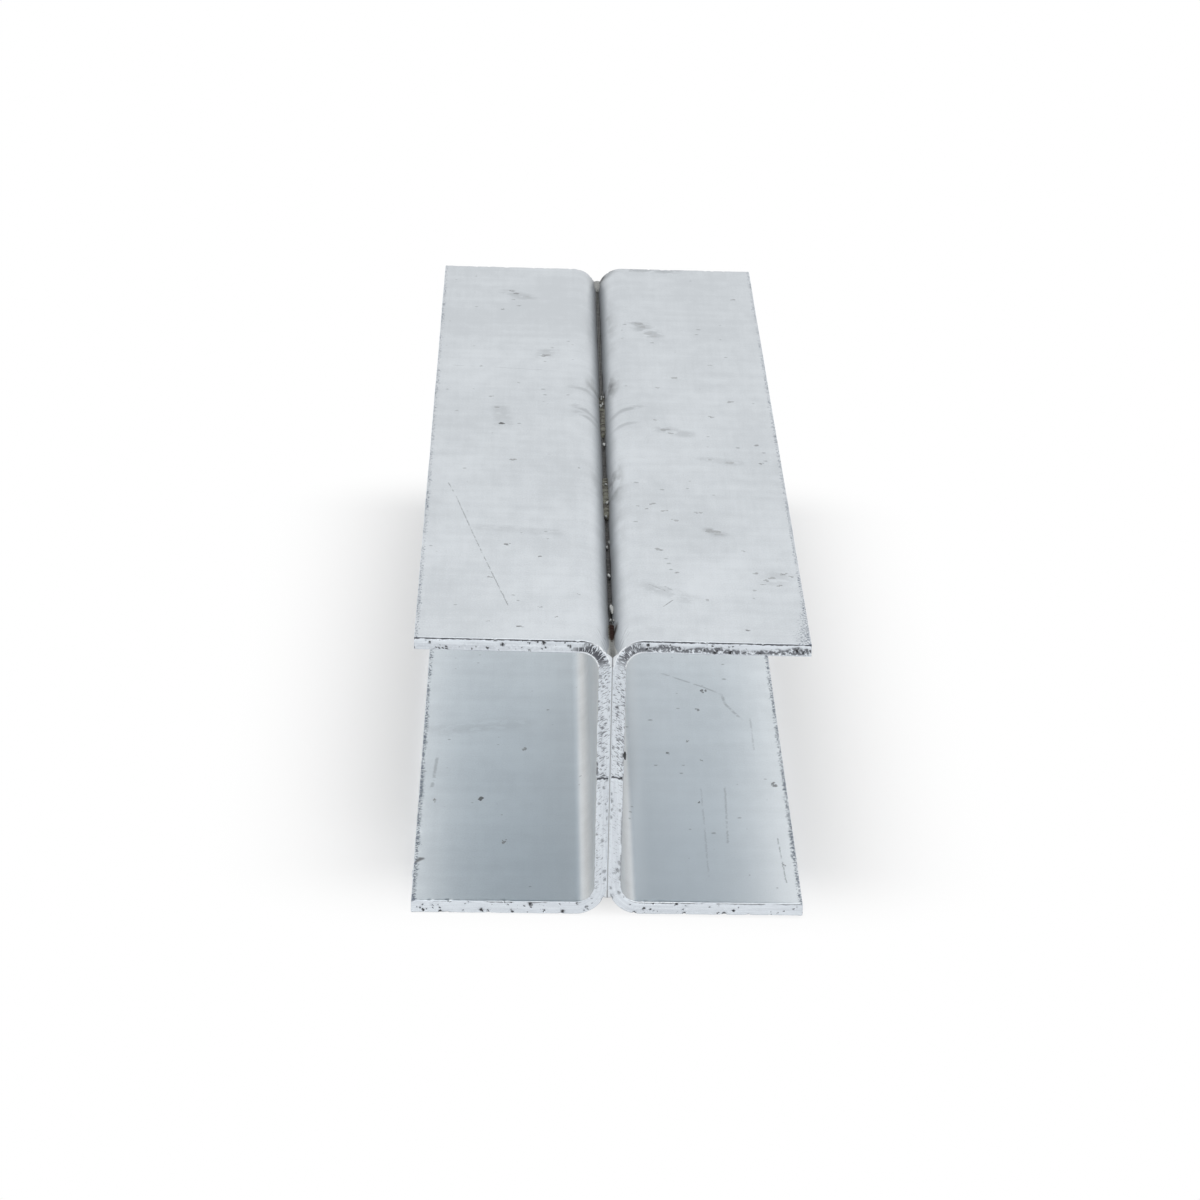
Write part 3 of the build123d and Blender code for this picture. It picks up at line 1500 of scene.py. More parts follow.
class Surface(Graph):
    """A material with one Principled shader."""

    def __init__(self, name: str) -> None:
        """Makes the material with nothing but its shader and its output."""
        self.material = bpy.data.materials.new(name)
        super().__init__(cleared(self.material))
        self.shader = self.node("ShaderNodeBsdfPrincipled")
        output = self.node("ShaderNodeOutputMaterial")
        self.tree.links.new(self.shader.outputs[0], output.inputs["Surface"])

    def set(self, **values: Value) -> None:
        """Sets or links the shader's inputs.

        Args:
            **values: the inputs, with an underscore for each space in a name.
        """
        for name, value in values.items():
            self.feed(self.shader.inputs[name.replace("_", " ").title()], value)

    def bump(self, height: Field, distance: float, strength: float) -> None:
        """Roughens the surface by a height.

        Args:
            height: the height field, about 0 to 1.
            distance: what a height of 1 stands for, in metres.
            strength: how much of it shows.
        """
        node = self.node("ShaderNodeBump")
        node.inputs["Distance"].default_value = distance
        node.inputs["Strength"].default_value = strength
        self.feed(node.inputs["Height"], height)
        self.set(normal=Field(self, node.outputs[0]))

    def dull_dirt(self) -> None:
        """Takes most of the shine off what is not metal."""
        self.shader.inputs["Specular IOR Level"].default_value = DIRT_SPECULAR

    def carried(self, name: str, output: str) -> Field:
        """An attribute that the mesh carries, read from the node's Vector or Fac output."""
        return Field(self, self.node("ShaderNodeAttribute", attribute_name=name).outputs[output])

    def on_blank(self) -> Field:
        """The place on the flat blank that each vertex kept."""
        return self.carried(BLANK, "Vector")

    def on_object(self) -> Field:
        """The place in the post."""
        return Field(self, self.node("ShaderNodeTexCoord").outputs["Object"])

    def marks(self, group: bpy.types.NodeTree, point: Field, fold: Fold, marks: Sequence[Mark]) -> Field:
        """A mask of some marks, each a little ragged and broken.

        Args:
            group: the node group of a straight mark.
            point: the place on the blank.
            fold: the sizes of the channel.
            marks: the marks.

        Returns:
            The mask.
        """
        shake = self.noise(point, 1.2 * MM) - 0.5
        loose = self.vector("ADD", point, self.join(shake * (1.0 * MM), shake * (1.6 * MM), 0.0))
        total = 0.0
        for scar in marks:
            spots = [fold.on_blank(scar.face, first * MM, second * MM) for first, second in scar.path]
            for start, end in zip(spots, spots[1:]):
                line = self.place(
                    group, point=loose, start=start, end=end, width=scar.width * MM, fade=float(scar.fades),
                )
                total = line["Mask"] * scar.strength | total
        return total * self.ramp(self.noise(point, 5 * MM, 3.0), 0.36, 0.52)


@dataclass(frozen=True)
class Soot:
    """A smudge of soot on the bend beside a weld, in millimetres."""

    side: Side
    along: float
    half_length: float
    strength: float
    reach: float = 10.5


@dataclass(frozen=True)
class ZincSheet:
    """Satin zinc on the rolled faces, with specks, scratches and soot beside the welds, painted light
    towards the front end, a painted highlight beside the bends inside, and painted shade on the inner web
    and deep in the grooves.
    """

    side: Side
    fold: Fold
    groups: Groups
    marks: tuple[Mark, ...]
    soot: tuple[Soot, ...]
    seed: float
    inside_bright: Colour
    inside_dull: Colour
    inside_roughness: float
    # Painted light towards the front end, inside the channel
    inside_front_light: float
    # Painted highlights beside the bends, inside the channel
    inside_highlight: float
    bend_highlight: float
    # Share of soot and painted shade in the grooves
    soot_and_shade_share: float
    front_clean: float
    corner_crumbs: float
    # Painted shade on the web deep inside the channel
    web_shade: Colour
    web_shade_reach: float
    web_shade_rise: float
    bright: Colour = (0.648, 0.688, 0.724)
    dull: Colour = (0.520, 0.557, 0.590)
    # Painted light: the pale colour that the inside is lifted towards
    pale: Colour = (0.860, 0.900, 0.930)
    roughness: float = 0.36
    dross: Colour = (0.145, 0.155, 0.165)
    crumb: Colour = (0.170, 0.200, 0.250)
    # Soot, and the painted shade deep in the grooves
    soot_and_shade_brown: Colour = (0.036, 0.032, 0.029)
    # Where the painted light towards the front end starts and ends
    front_light_from: float = -60 * MM
    front_light_to: float = -240 * MM
    web_mottle: float = 0.26
    speck_chance: float = 0.45
    speck_strength: float = 0.45

    def dress(self) -> bpy.types.Material:
        """Builds the material.

        Returns:
            The material of the rolled faces.
        """
        surface = Surface(f"{self.side.label}_zinc_sheet")
        point = surface.on_blank()
        fold = self.fold
        place = Place.read(surface, point, self.seed, fold.web, fold.arc, fold.half, fold.length / 2)
        zinc = surface.place(self.groups.mottle, point=place.grain)
        dross = surface.place(self.groups.specks, point=place.grain, chance=self.speck_chance)
        dross = dross["Mask"] * self.speck_strength
        own = [scar for scar in self.marks if scar.side is self.side and scar.face is not Face.WEB_END]
        dross = dross | surface.marks(self.groups.mark, point, fold, own)
        crumbs = self.rim_crumbs(place)
        # Soot and painted shade in the grooves
        soot_and_shade = self.groove_soot_and_shade(place)
        inside = surface.ramp(place.through, fold.plate * 0.4, fold.plate * 0.6)
        # Painted light: brighter towards the front end; also darker towards the rear end
        front_light = surface.ramp(place.along, self.front_light_from, self.front_light_to)
        tone = surface.ramp(zinc["Tone"], 0.36, 0.64)
        shine = tone + (front_light - 0.5) * 0.25
        shine = shine - surface.ramp(place.along, 40 * MM, 220 * MM) * 0.20
        within = self.inside_zinc(place, tone, shine, front_light)
        colour = surface.blend(inside, surface.blend(shine, self.dull, self.bright), within)
        colour = surface.blend(crumbs * 0.9, colour, self.crumb)
        colour = surface.blend(dross, colour, self.dross)
        colour = surface.blend(soot_and_shade, colour, self.soot_and_shade_brown)
        roughness = self.roughness + inside * (self.inside_roughness - self.roughness)
        roughness = roughness + (zinc["Grain"] - 0.5) * 0.04 + (dross | crumbs) * 0.25 + soot_and_shade * 0.3
        surface.set(base_color=colour, metallic=1.0 - soot_and_shade * 0.9, roughness=roughness)
        surface.dull_dirt()
        surface.bump(zinc["Height"], 0.05 * MM, 0.5)
        return surface.material

    def inside_zinc(self, place: Place, tone: Field, shine: Field, front_light: Field) -> Field:
        """The zinc inside the channel, with painted light towards the front end, a painted highlight beside
        the bends and painted shade on the web.

        Args:
            place: the place on the blank.
            tone: the zinc's mottle from dull to bright.
            shine: the mottle, with painted light towards the front end.
            front_light: a mask of painted light that rises towards the front end.

        Returns:
            Its colour.
        """
        graph, arc = place.graph, self.fold.arc
        colour = graph.blend(shine, self.inside_dull, self.inside_bright)
        # Painted light towards the front end
        colour = graph.blend(front_light * self.inside_front_light, colour, self.pale)
        # Painted highlight beside the bends, strongest near the front end, and a narrow one along the bend
        # itself
        beside_bend = graph.ramp(place.past_bend, 42 * MM, 2 * MM)
        highlight = beside_bend * graph.ramp(place.along, 10 * MM, -110 * MM) * self.inside_highlight
        tail = graph.ramp(place.past_bend, -1.5 * MM, 0.5 * MM)
        tail = tail * graph.ramp(place.past_bend, 5 * MM, 0.5 * MM)
        highlight = highlight + tail * self.bend_highlight
        colour = graph.blend(highlight, colour, self.pale)
        # Painted shade: the web deep in the channel is grey, reaching further up the bend away from the
        # front end
        further = graph.ramp(place.along, -180 * MM, -110 * MM) * self.web_shade_rise
        grey = graph.ramp(place.up_bend, (further + self.web_shade_reach) * arc, arc * 0.5)
        duller, brighter = (
            tuple(part * (1.0 + change) for part in self.web_shade)
            for change in (-self.web_mottle / 2, self.web_mottle / 2)
        )
        return graph.blend(grey, colour, graph.blend(tone, duller, brighter))

    def rim_crumbs(self, place: Place) -> Field:
        """Crumbs of dross along the sheared flange edges, denser on the lower ones.

        Args:
            place: the place on the blank.

        Returns:
            A mask that is 1 in a crumb.
        """
        graph = place.graph
        crumbs = graph.noise(place.grain, 0.7 * MM, 3.0)
        corner = graph.ramp(place.along, -205 * MM, -240 * MM) * place.upper * self.corner_crumbs
        where = graph.noise(place.grain, 22 * MM) - place.upper * 0.26 + corner * 0.14
        where = where - graph.ramp(place.along, -120 * MM, 0.0) * 0.10
        ragged = (graph.noise(place.grain, 2.0 * MM, 3.0) - 0.5) * (2.4 * MM)
        ragged = ragged * (1.0 + corner * 1.2)
        near = graph.ramp(place.to_edge + ragged, 1.9 * MM + corner * (5.0 * MM), 0.7 * MM)
        return graph.ramp(crumbs + where * 0.30 + near * 0.12, 0.68, 0.80) * near

    def groove_soot_and_shade(self, place: Place) -> Field:
        """Soot and flux in the grooves, spreading on the bends beside the welds, with painted shade deep in
        the grooves and a fainter painted haze of shade up the bends.

        Args:
            place: the place on the blank.

        Returns:
            A mask that is 1 deep in a groove.
        """
        graph = place.graph
        outside = graph.ramp(place.through, 1.2 * MM, 0.6 * MM)
        run, along, through = graph.split(place.grain)
        smeared = graph.join(run, along * 0.22, through)
        wander = (graph.noise(smeared, 5 * MM, 4.0) - 0.5) * (2.4 * MM)
        climb = place.up_bend + wander
        # Painted shade deep in the groove, and a fainter haze of it up the bends
        soot_and_shade = graph.ramp(climb, 3.4 * MM, 1.6 * MM) | graph.ramp(climb, 8.0 * MM, 2.6 * MM) * 0.52
        soot_and_shade = soot_and_shade * (1.0 - graph.ramp(place.along, -200 * MM, -225 * MM) * self.front_clean)
        patchy = graph.ramp(graph.noise(smeared, 4 * MM, 4.0), 0.30, 0.62)
        for smudge in self.soot:
            if smudge.side is self.side:
                window = graph.ramp(abs(place.along - smudge.along * MM), smudge.half_length * MM, 0.0)
                spread = graph.ramp(climb, smudge.reach * MM, smudge.reach * 0.38 * MM) * patchy
                soot_and_shade = soot_and_shade | window * spread * smudge.strength
        slanted = graph.join(place.up_bend - place.along * 0.25, along * 0.05, 0.0)
        lines = graph.ramp(graph.noise(slanted, 0.6 * MM), 0.52, 0.66)
        lines = lines * graph.ramp(place.along, -224 * MM, -242 * MM)
        lines = lines * graph.band(place.up_bend, 5.0 * MM, 3.0 * MM, 3.0 * MM) * 0.35
        return (soot_and_shade * self.soot_and_shade_share | lines) * outside & 1.0


@dataclass(frozen=True)
class CutZinc:
    """Thick bright zinc over the sawn ends and sheared edges, pitted and torn, with a painted highlight on
    the rims at the bends.
    """

    side: Side
    fold: Fold
    groups: Groups
    marks: tuple[Mark, ...]
    seed: float
    band_strength: float
    fan_strength: float
    bright: Colour = (0.775, 0.825, 0.875)
    dull: Colour = (0.625, 0.665, 0.715)
    # Painted highlight colour for the rims of the cut faces at the bends
    rim: Colour = (0.920, 0.940, 0.960)
    # Dark colour of the tears, the fan and the crumbs, and of the painted shadow under the burr
    grime_and_shadow: Colour = (0.090, 0.094, 0.110)
    pit: Colour = (0.035, 0.034, 0.037)
    pit_strength: float = 0.95
    tear_strength: float = 0.68
    ledge_strength: float = 0.95

    def dress(self) -> bpy.types.Material:
        """Builds the material.

        Returns:
            The material of the cut ends and edges.
        """
        surface = Surface(f"{self.side.label}_cut_zinc")
        point = surface.on_blank()
        fold = self.fold
        place = Place.read(surface, point, self.seed, fold.web, fold.arc, fold.half, fold.length / 2)
        zinc = surface.place(self.groups.mottle, point=place.grain)
        on_end = surface.ramp(place.to_end, 0.6 * MM, 0.2 * MM)
        pits = CUT_WEAR.pits(place) * self.pit_strength
        wear_and_shadow = CUT_WEAR.tears(place) * self.tear_strength
        # The lip on the upper flange ends is a painted shadow under the burr
        wear_and_shadow = wear_and_shadow | CUT_WEAR.ledge(place) * self.ledge_strength | CUT_WEAR.lip(place)
        wear_and_shadow = wear_and_shadow | CUT_WEAR.fan(place) * self.fan_strength
        wear_and_shadow = wear_and_shadow | CUT_WEAR.ragged_band(place) * self.band_strength
        own = [scar for scar in self.marks if scar.side is self.side and scar.face is Face.WEB_END]
        wear_and_shadow = (wear_and_shadow | surface.marks(self.groups.mark, point, fold, own)) * on_end
        colour = surface.blend(surface.ramp(zinc["Tone"], 0.38, 0.62), self.dull, self.bright)
        # Painted highlight: a pale rim along the outer and inner edges of the cut face at the bends
        on_bend = surface.band(place.past_bend, -5.5 * MM, 5.5 * MM, 3.0 * MM) * place.upper
        rim = surface.ramp(abs(place.through - fold.plate / 2), 1.45 * MM, 1.85 * MM) * on_bend
        colour = surface.blend(rim * 0.8, colour, self.rim)
        colour = surface.blend(wear_and_shadow, colour, self.grime_and_shadow)
        colour = surface.blend(pits, colour, self.pit)
        dark = pits | wear_and_shadow
        roughness = 0.36 + zinc["Grain"] * 0.16 + dark * 0.25 - rim * 0.08
        surface.set(base_color=colour, metallic=1.0 - dark * 0.5, roughness=roughness)
        surface.bump(zinc["Grain"] * 0.7 + zinc["Height"] - dark, 0.13 * MM, 0.7)
        return surface.material


@dataclass(frozen=True)
class WeldMetal:
    """Dull weld metal under thin zinc, with rust on a stretch that starts behind the front end."""

    groups: Groups
    fold: Fold
    rust_start: float = 18 * MM
    rust_stop: float = 37 * MM
    zinc: Colour = (0.150, 0.152, 0.125)
    scale: Colour = (0.045, 0.042, 0.033)
    rust: Colour = (0.018, 0.005, 0.003)
    smooth: Colour = (0.200, 0.206, 0.200)
    flank: Colour = (0.420, 0.432, 0.430)
    tack: Colour = (0.300, 0.306, 0.300)
    bright: Colour = (0.720, 0.755, 0.790)
    seam_grey: Colour = (0.300, 0.310, 0.325)

    def dress(self) -> bpy.types.Material:
        """Builds the material.

        Returns:
            The material of the welds.
        """
        surface = Surface("stitch_weld_metal")
        point = surface.on_object()
        aside, along, _ = surface.split(point)
        zinc = surface.place(self.groups.mottle, point=point)
        lumps = surface.noise(point, 2.4 * MM, 3.0)
        colour = surface.blend(surface.ramp(lumps, 0.40, 0.62), self.scale, self.zinc)
        shifted = along + (lumps - 0.5) * (8.0 * MM) - abs(aside) * 5.0
        end = self.fold.length / 2
        start, stop = self.rust_start - end, self.rust_stop - end
        rusty = surface.band(shifted, (start + stop) / 2, (stop - start) / 2, 3 * MM)
        rusty = rusty * surface.ramp(aside, -1.0 * MM, -0.4 * MM)
        fill = surface.blend(surface.ramp(abs(aside), 0.4 * MM, 1.5 * MM), self.smooth, self.flank)
        colour = surface.blend(surface.ramp(shifted, start, start - 4 * MM), colour, fill)
        colour = surface.blend(rusty * 0.96, colour, self.rust)
        colour = surface.blend(surface.ramp(along, end - 13 * MM, end - 9 * MM), colour, self.tack)
        at_end = surface.ramp(abs(along), end - 0.6 * MM, end - 0.2 * MM)
        seam = surface.ramp(abs(aside), self.fold.seam * 0.7, self.fold.seam * 0.3)
        colour = surface.blend(at_end, colour, surface.blend(seam, self.bright, self.seam_grey))
        roughness = 0.42 + lumps * 0.2 + rusty * 0.3
        surface.set(base_color=colour, metallic=(0.8 - rusty * 0.8) | at_end, roughness=roughness)
        surface.dull_dirt()
        surface.bump(zinc["Grain"] + lumps, 0.12 * MM, 0.6)
        return surface.material


@dataclass(frozen=True)
class Dross:
    """Dull grey flakes of dross, each as dark as its own share says."""

    groups: Groups
    pale: Colour = (0.50, 0.525, 0.545)
    dark: Colour = (0.055, 0.058, 0.062)

    def dress(self) -> bpy.types.Material:
        """Builds the material.

        Returns:
            The material of the flakes.
        """
        surface = Surface("dross_flakes")
        zinc = surface.place(self.groups.mottle, point=surface.on_object())
        share = surface.carried(LUMP_DARKNESS, "Fac")
        darkened = share * (0.4 + share * 0.6) + (zinc["Grain"] - 0.5) * 0.4
        colour = surface.blend(darkened, self.pale, self.dark)
        surface.set(base_color=colour, metallic=0.9 - share * 0.5, roughness=0.40 + share * 0.2)
        surface.bump(zinc["Grain"], 0.04 * MM, 0.5)
        return surface.material


@dataclass(frozen=True)
class DripZinc:
    """Bright zinc that set in drops."""

    groups: Groups
    bright: Colour = (0.50, 0.515, 0.51)
    dull: Colour = (0.22, 0.225, 0.21)

    def dress(self) -> bpy.types.Material:
        """Builds the material.

        Returns:
            The material of the drips.
        """
        surface = Surface("drop_zinc")
        zinc = surface.place(self.groups.mottle, point=surface.on_object())
        colour = surface.blend(surface.ramp(zinc["Tone"], 0.36, 0.60), self.dull, self.bright)
        surface.set(base_color=colour, metallic=1.0, roughness=0.35 + zinc["Grain"] * 0.15)
        surface.bump(zinc["Grain"], 0.05 * MM, 0.5)
        return surface.material


@dataclass(frozen=True)
class FilmZinc:
    """Zinc and flux that bridge the seam, which shows as a duller line in the middle; in the grooves its
    near-black colours are also painted shade.
    """

    groups: Groups
    name: str
    front: Colour
    rear: Colour
    seam: Colour
    fade: float = 110 * MM

    def dress(self) -> bpy.types.Material:
        """Builds the material.

        Returns:
            The material of the films.
        """
        surface = Surface(self.name)
        point = surface.on_object()
        aside, along, _ = surface.split(point)
        zinc = surface.place(self.groups.mottle, point=point)
        colour = surface.blend(surface.ramp(along, -self.fade, self.fade), self.front, self.rear)
        line = surface.ramp(abs(aside), 0.25 * MM, 0.08 * MM) | surface.ramp(zinc["Tone"], 0.56, 0.40) * 0.4
        colour = surface.blend(line, colour, self.seam)
        surface.set(base_color=colour, metallic=0.9, roughness=0.45 + zinc["Grain"] * 0.15)
        surface.dull_dirt()
        surface.bump(zinc["Grain"], 0.05 * MM, 0.5)
        return surface.material


@dataclass(frozen=True)
class Lamp:
    """A square soft lamp that points at the post, in metres and watts."""

    name: str
    place: tuple[float, float, float]
    size: float
    power: float

    def hang(self) -> None:
        """Adds the lamp to the scene."""
        data = bpy.data.lights.new(self.name, "AREA")
        data.size = self.size
        data.energy = self.power
        lamp = bpy.data.objects.new(self.name, data)
        lamp.location = self.place
        lamp.rotation_euler = (-Vector(self.place)).to_track_quat("-Z", "Y").to_euler()
        bpy.context.scene.collection.objects.link(lamp)


@dataclass(frozen=True)
class Studio:
    """Plain pale floor, soft light and the camera of the photograph."""

    focal_px: float = 5062.0
    image_px: float = 1200.0
    camera_mm: tuple[float, float, float] = (-28.2, -1711.7, 539.7)
    pitch: float = 16.708
    yaw: float = 0.940
    roll: float = 1.271
    sensor: float = 36.0
    view_depth: float = 20.0
    lamps: tuple[Lamp, ...] = (
        Lamp("overhead_softbox", (-0.25, -0.35, 1.7), 1.8, 4.8),
        Lamp("front_softbox", (0.9, -1.5, 1.1), 0.8, 5.0),
    )
    ambient: float = 0.86
    floor_half: float = 4.0
    floor_level: float = -0.5 * MM
    floor_tone: float = 0.95
    shadow_half: tuple[float, float] = (0.06, 0.20)
    shadow_fade: tuple[float, float] = (-0.02, 0.07)

    def build(self) -> None:
        """Sets up the floor, the lamps, the world and the camera."""
        bpy.context.scene.view_settings.view_transform = "Standard"
        self.floor()
        for lamp in self.lamps:
            lamp.hang()
        self.world()
        self.camera()

    def camera(self) -> None:
        """Places the camera where the photograph was taken from."""
        data = bpy.data.cameras.new("camera")
        data.sensor_width = self.sensor
        data.lens = self.focal_px / self.image_px * self.sensor
        data.clip_end = self.view_depth
        camera = bpy.data.objects.new("camera", data)
        turn = (
            Matrix.Rotation(-math.radians(self.yaw), 4, "Z")
            @ Matrix.Rotation(math.radians(90.0 - self.pitch), 4, "X")
            @ Matrix.Rotation(math.radians(self.roll), 4, "Z")
        )
        camera.matrix_world = Matrix.Translation(Vector(self.camera_mm) * MM) @ turn
        bpy.context.scene.collection.objects.link(camera)
        bpy.context.scene.camera = camera

    @staticmethod
    def seen(graph: Graph) -> Field:
        """A mask of the rays that show the background.

        Args:
            graph: the tree of the world or of the floor.

        Returns:
            1 for rays to the camera, and for what metal and glass show.
        """
        light = graph.node("ShaderNodeLightPath")
        camera, glossy, clear = (
            Field(graph, light.outputs[f"Is {kind} Ray"]) for kind in ("Camera", "Glossy", "Transmission")
        )
        return camera | glossy | clear

    def world(self) -> None:
        """A white surround that shows at full strength and lights at a plain level."""
        world = bpy.data.worlds.new("white_surround")
        graph = Graph(cleared(world))
        back = graph.node("ShaderNodeBackground")
        back.inputs["Color"].default_value = (1.0, 1.0, 1.0, 1.0)
        graph.feed(back.inputs["Strength"], self.ambient + self.seen(graph) * (1.0 - self.ambient))
        output = graph.node("ShaderNodeOutputWorld")
        graph.tree.links.new(back.outputs[0], output.inputs["Surface"])
        bpy.context.scene.world = world

    def floor(self) -> None:
        """A pale floor that keeps the shadow near the post and fades to white around it."""
        half, level = self.floor_half, self.floor_level
        corners = [(-half, -half, level), (half, -half, level), (half, half, level), (-half, half, level)]
        mesh = bpy.data.meshes.new("floor")
        mesh.from_pydata(corners, [], [(0, 1, 2, 3)])
        floor = bpy.data.objects.new("floor", mesh)
        bpy.context.scene.collection.objects.link(floor)
        material = bpy.data.materials.new("pale_floor")
        graph = Graph(cleared(material))
        x, y, _ = graph.split(Field(graph, graph.node("ShaderNodeTexCoord").outputs["Object"]))
        beside, beyond = self.shadow_half
        outside = graph.join((abs(x) - beside) | 0.0, (abs(y) - beyond) | 0.0, 0.0)
        away = graph.vector("LENGTH", outside, output="Value")
        matt = graph.node("ShaderNodeBsdfDiffuse")
        matt.inputs["Color"].default_value = (self.floor_tone, self.floor_tone, self.floor_tone, 1.0)
        white = graph.node("ShaderNodeEmission")
        mix = graph.node("ShaderNodeMixShader")
        graph.feed(mix.inputs[0], graph.ramp(away, *self.shadow_fade) * self.seen(graph))
        graph.tree.links.new(matt.outputs[0], mix.inputs[1])
        graph.tree.links.new(white.outputs[0], mix.inputs[2])
        output = graph.node("ShaderNodeOutputMaterial")
        graph.tree.links.new(mix.outputs[0], output.inputs["Surface"])
        mesh.materials.append(material)


MARKS = (
    mark(
        Side.LEFT, Face.UPPER_OUTSIDE, 0.28, 0.55,
        (53, -74), (50, -92), (44, -135), (37, -182), (32, -215),
    ),
    streak(Side.LEFT, 3.2, 0.30, (2, 23), (12, 36)),
    streak(Side.LEFT, 2.6, 0.26, (2, 14), (11, 27)),
    streak(Side.LEFT, 3.6, 0.22, (2, 55), (13, 62)),
    mark(Side.LEFT, Face.UPPER_OUTSIDE, 6.0, 0.20, (35, 207), (28, 198)),
    mark(Side.LEFT, Face.UPPER_OUTSIDE, 5.0, 0.20, (20, 112), (21, 104)),
    mark(Side.LEFT, Face.UPPER_OUTSIDE, 0.8, 0.16, (54, 88), (22, 84)),
    mark(Side.LEFT, Face.UPPER_OUTSIDE, 5.0, 0.15, (37, 30), (35, 4)),
    mark(Side.LEFT, Face.UPPER_OUTSIDE, 6.0, 0.12, (40, -128), (18, -132)),
    mark(Side.LEFT, Face.LOWER_INSIDE, 10.0, 0.11, (30, -74), (52, -82)),
    mark(Side.LEFT, Face.LOWER_INSIDE, 0.8, 0.30, (55, -112), (56, -142)),
    mark(Side.LEFT, Face.LOWER_INSIDE, 1.8, 0.90, (58, -212), (60, -215)),
    mark(Side.RIGHT, Face.UPPER_OUTSIDE, 0.5, 0.40, (12, -190), (17, -197)),
    mark(Side.RIGHT, Face.UPPER_OUTSIDE, 0.6, 0.40, (17, -192), (22, -201)),
    mark(Side.RIGHT, Face.UPPER_OUTSIDE, 0.35, 0.60, (16, -214), (19, -207)),
    streak(Side.RIGHT, 3.0, 0.30, (2, 22), (15, 35)),
    streak(Side.RIGHT, 2.8, 0.24, (3, 4), (13, 12)),
    mark(Side.RIGHT, Face.UPPER_OUTSIDE, 6.0, 0.28, (14, 158), (20, 139)),
    mark(Side.RIGHT, Face.UPPER_OUTSIDE, 6.0, 0.32, (7, 249), (29, 247)),
    mark(Side.RIGHT, Face.UPPER_OUTSIDE, 6.0, 0.22, (21, 1), (28, -5)),
    mark(Side.RIGHT, Face.UPPER_OUTSIDE, 5.0, 0.16, (44, -42), (35, -37)),
    mark(Side.RIGHT, Face.UPPER_OUTSIDE, 4.5, 0.26, (33, -126), (36, -131)),
    mark(Side.RIGHT, Face.UPPER_OUTSIDE, 6.0, 0.16, (12, -192), (24, -206)),
    mark(Side.RIGHT, Face.UPPER_OUTSIDE, 7.0, 0.16, (52, -184), (54, -177)),
    mark(
        Side.RIGHT, Face.LOWER_INSIDE, 0.80, 0.32,
        (22, -17), (36, -32), (42, -40), (43, -51), (48, -68),
    ),
    mark(Side.RIGHT, Face.LOWER_INSIDE, 0.50, 0.26, (40, -136), (39, -195)),
    mark(Side.RIGHT, Face.LOWER_INSIDE, 0.45, 0.18, (32, -141), (32, -226)),
    mark(Side.RIGHT, Face.LOWER_INSIDE, 0.45, 0.22, (51, -67), (51, -101)),
    mark(Side.RIGHT, Face.LOWER_INSIDE, 0.35, 0.45, (55, -190), (56, -231)),
    mark(Side.LEFT, Face.WEB_END, 0.50, 0.90, (4.0, 45.5), (4.0, 52.5)),
    mark(Side.RIGHT, Face.WEB_END, 0.80, 0.95, (4.0, 49.5), (4.1, 53.0)),
    mark(Side.RIGHT, Face.WEB_END, 0.70, 0.60, (4.1, 11.0), (4.1, 33.0)),
)

LEFT_SPECKS = (
    *specks(
        Side.LEFT, Face.UPPER_OUTSIDE,
        (34, 208, 1.1, 0.55), (32, 204, 1.3, 0.60), (37, 178, 0.9, 0.50), (31, 184, 0.8, 0.40),
        (33, 194, 0.7, 0.35), (28, 199, 0.8, 0.30), (20, 106, 1.5, 0.55), (18, 118, 0.7, 0.25),
        (40, 43, 0.8, 0.40), (37, 29, 1.2, 0.50), (36, 6, 1.3, 0.95), (32, -42, 1.2, 0.50),
        (9, -51, 0.6, 0.60), (33, -147, 1.1, 0.65), (22, -160, 0.7, 0.65), (38, -184, 0.7, 0.45),
        (28, -237, 0.9, 0.75), (22, -216, 0.6, 0.45), (17, -226, 0.6, 0.40), (38, -232, 0.6, 0.40),
        (10, -201, 0.5, 0.45), (44, 88, 0.6, 0.30), (52, 22, 0.6, 0.30), (30, 64, 0.6, 0.25),
    ),
    *specks(
        Side.LEFT, Face.LOWER_INSIDE,
        (40, -153, 1.2, 0.80), (55, -156, 1.0, 0.50), (32, -195, 0.9, 0.50), (26, -102, 0.8, 0.25),
        (18, -60, 0.6, 0.25),
    ),
)

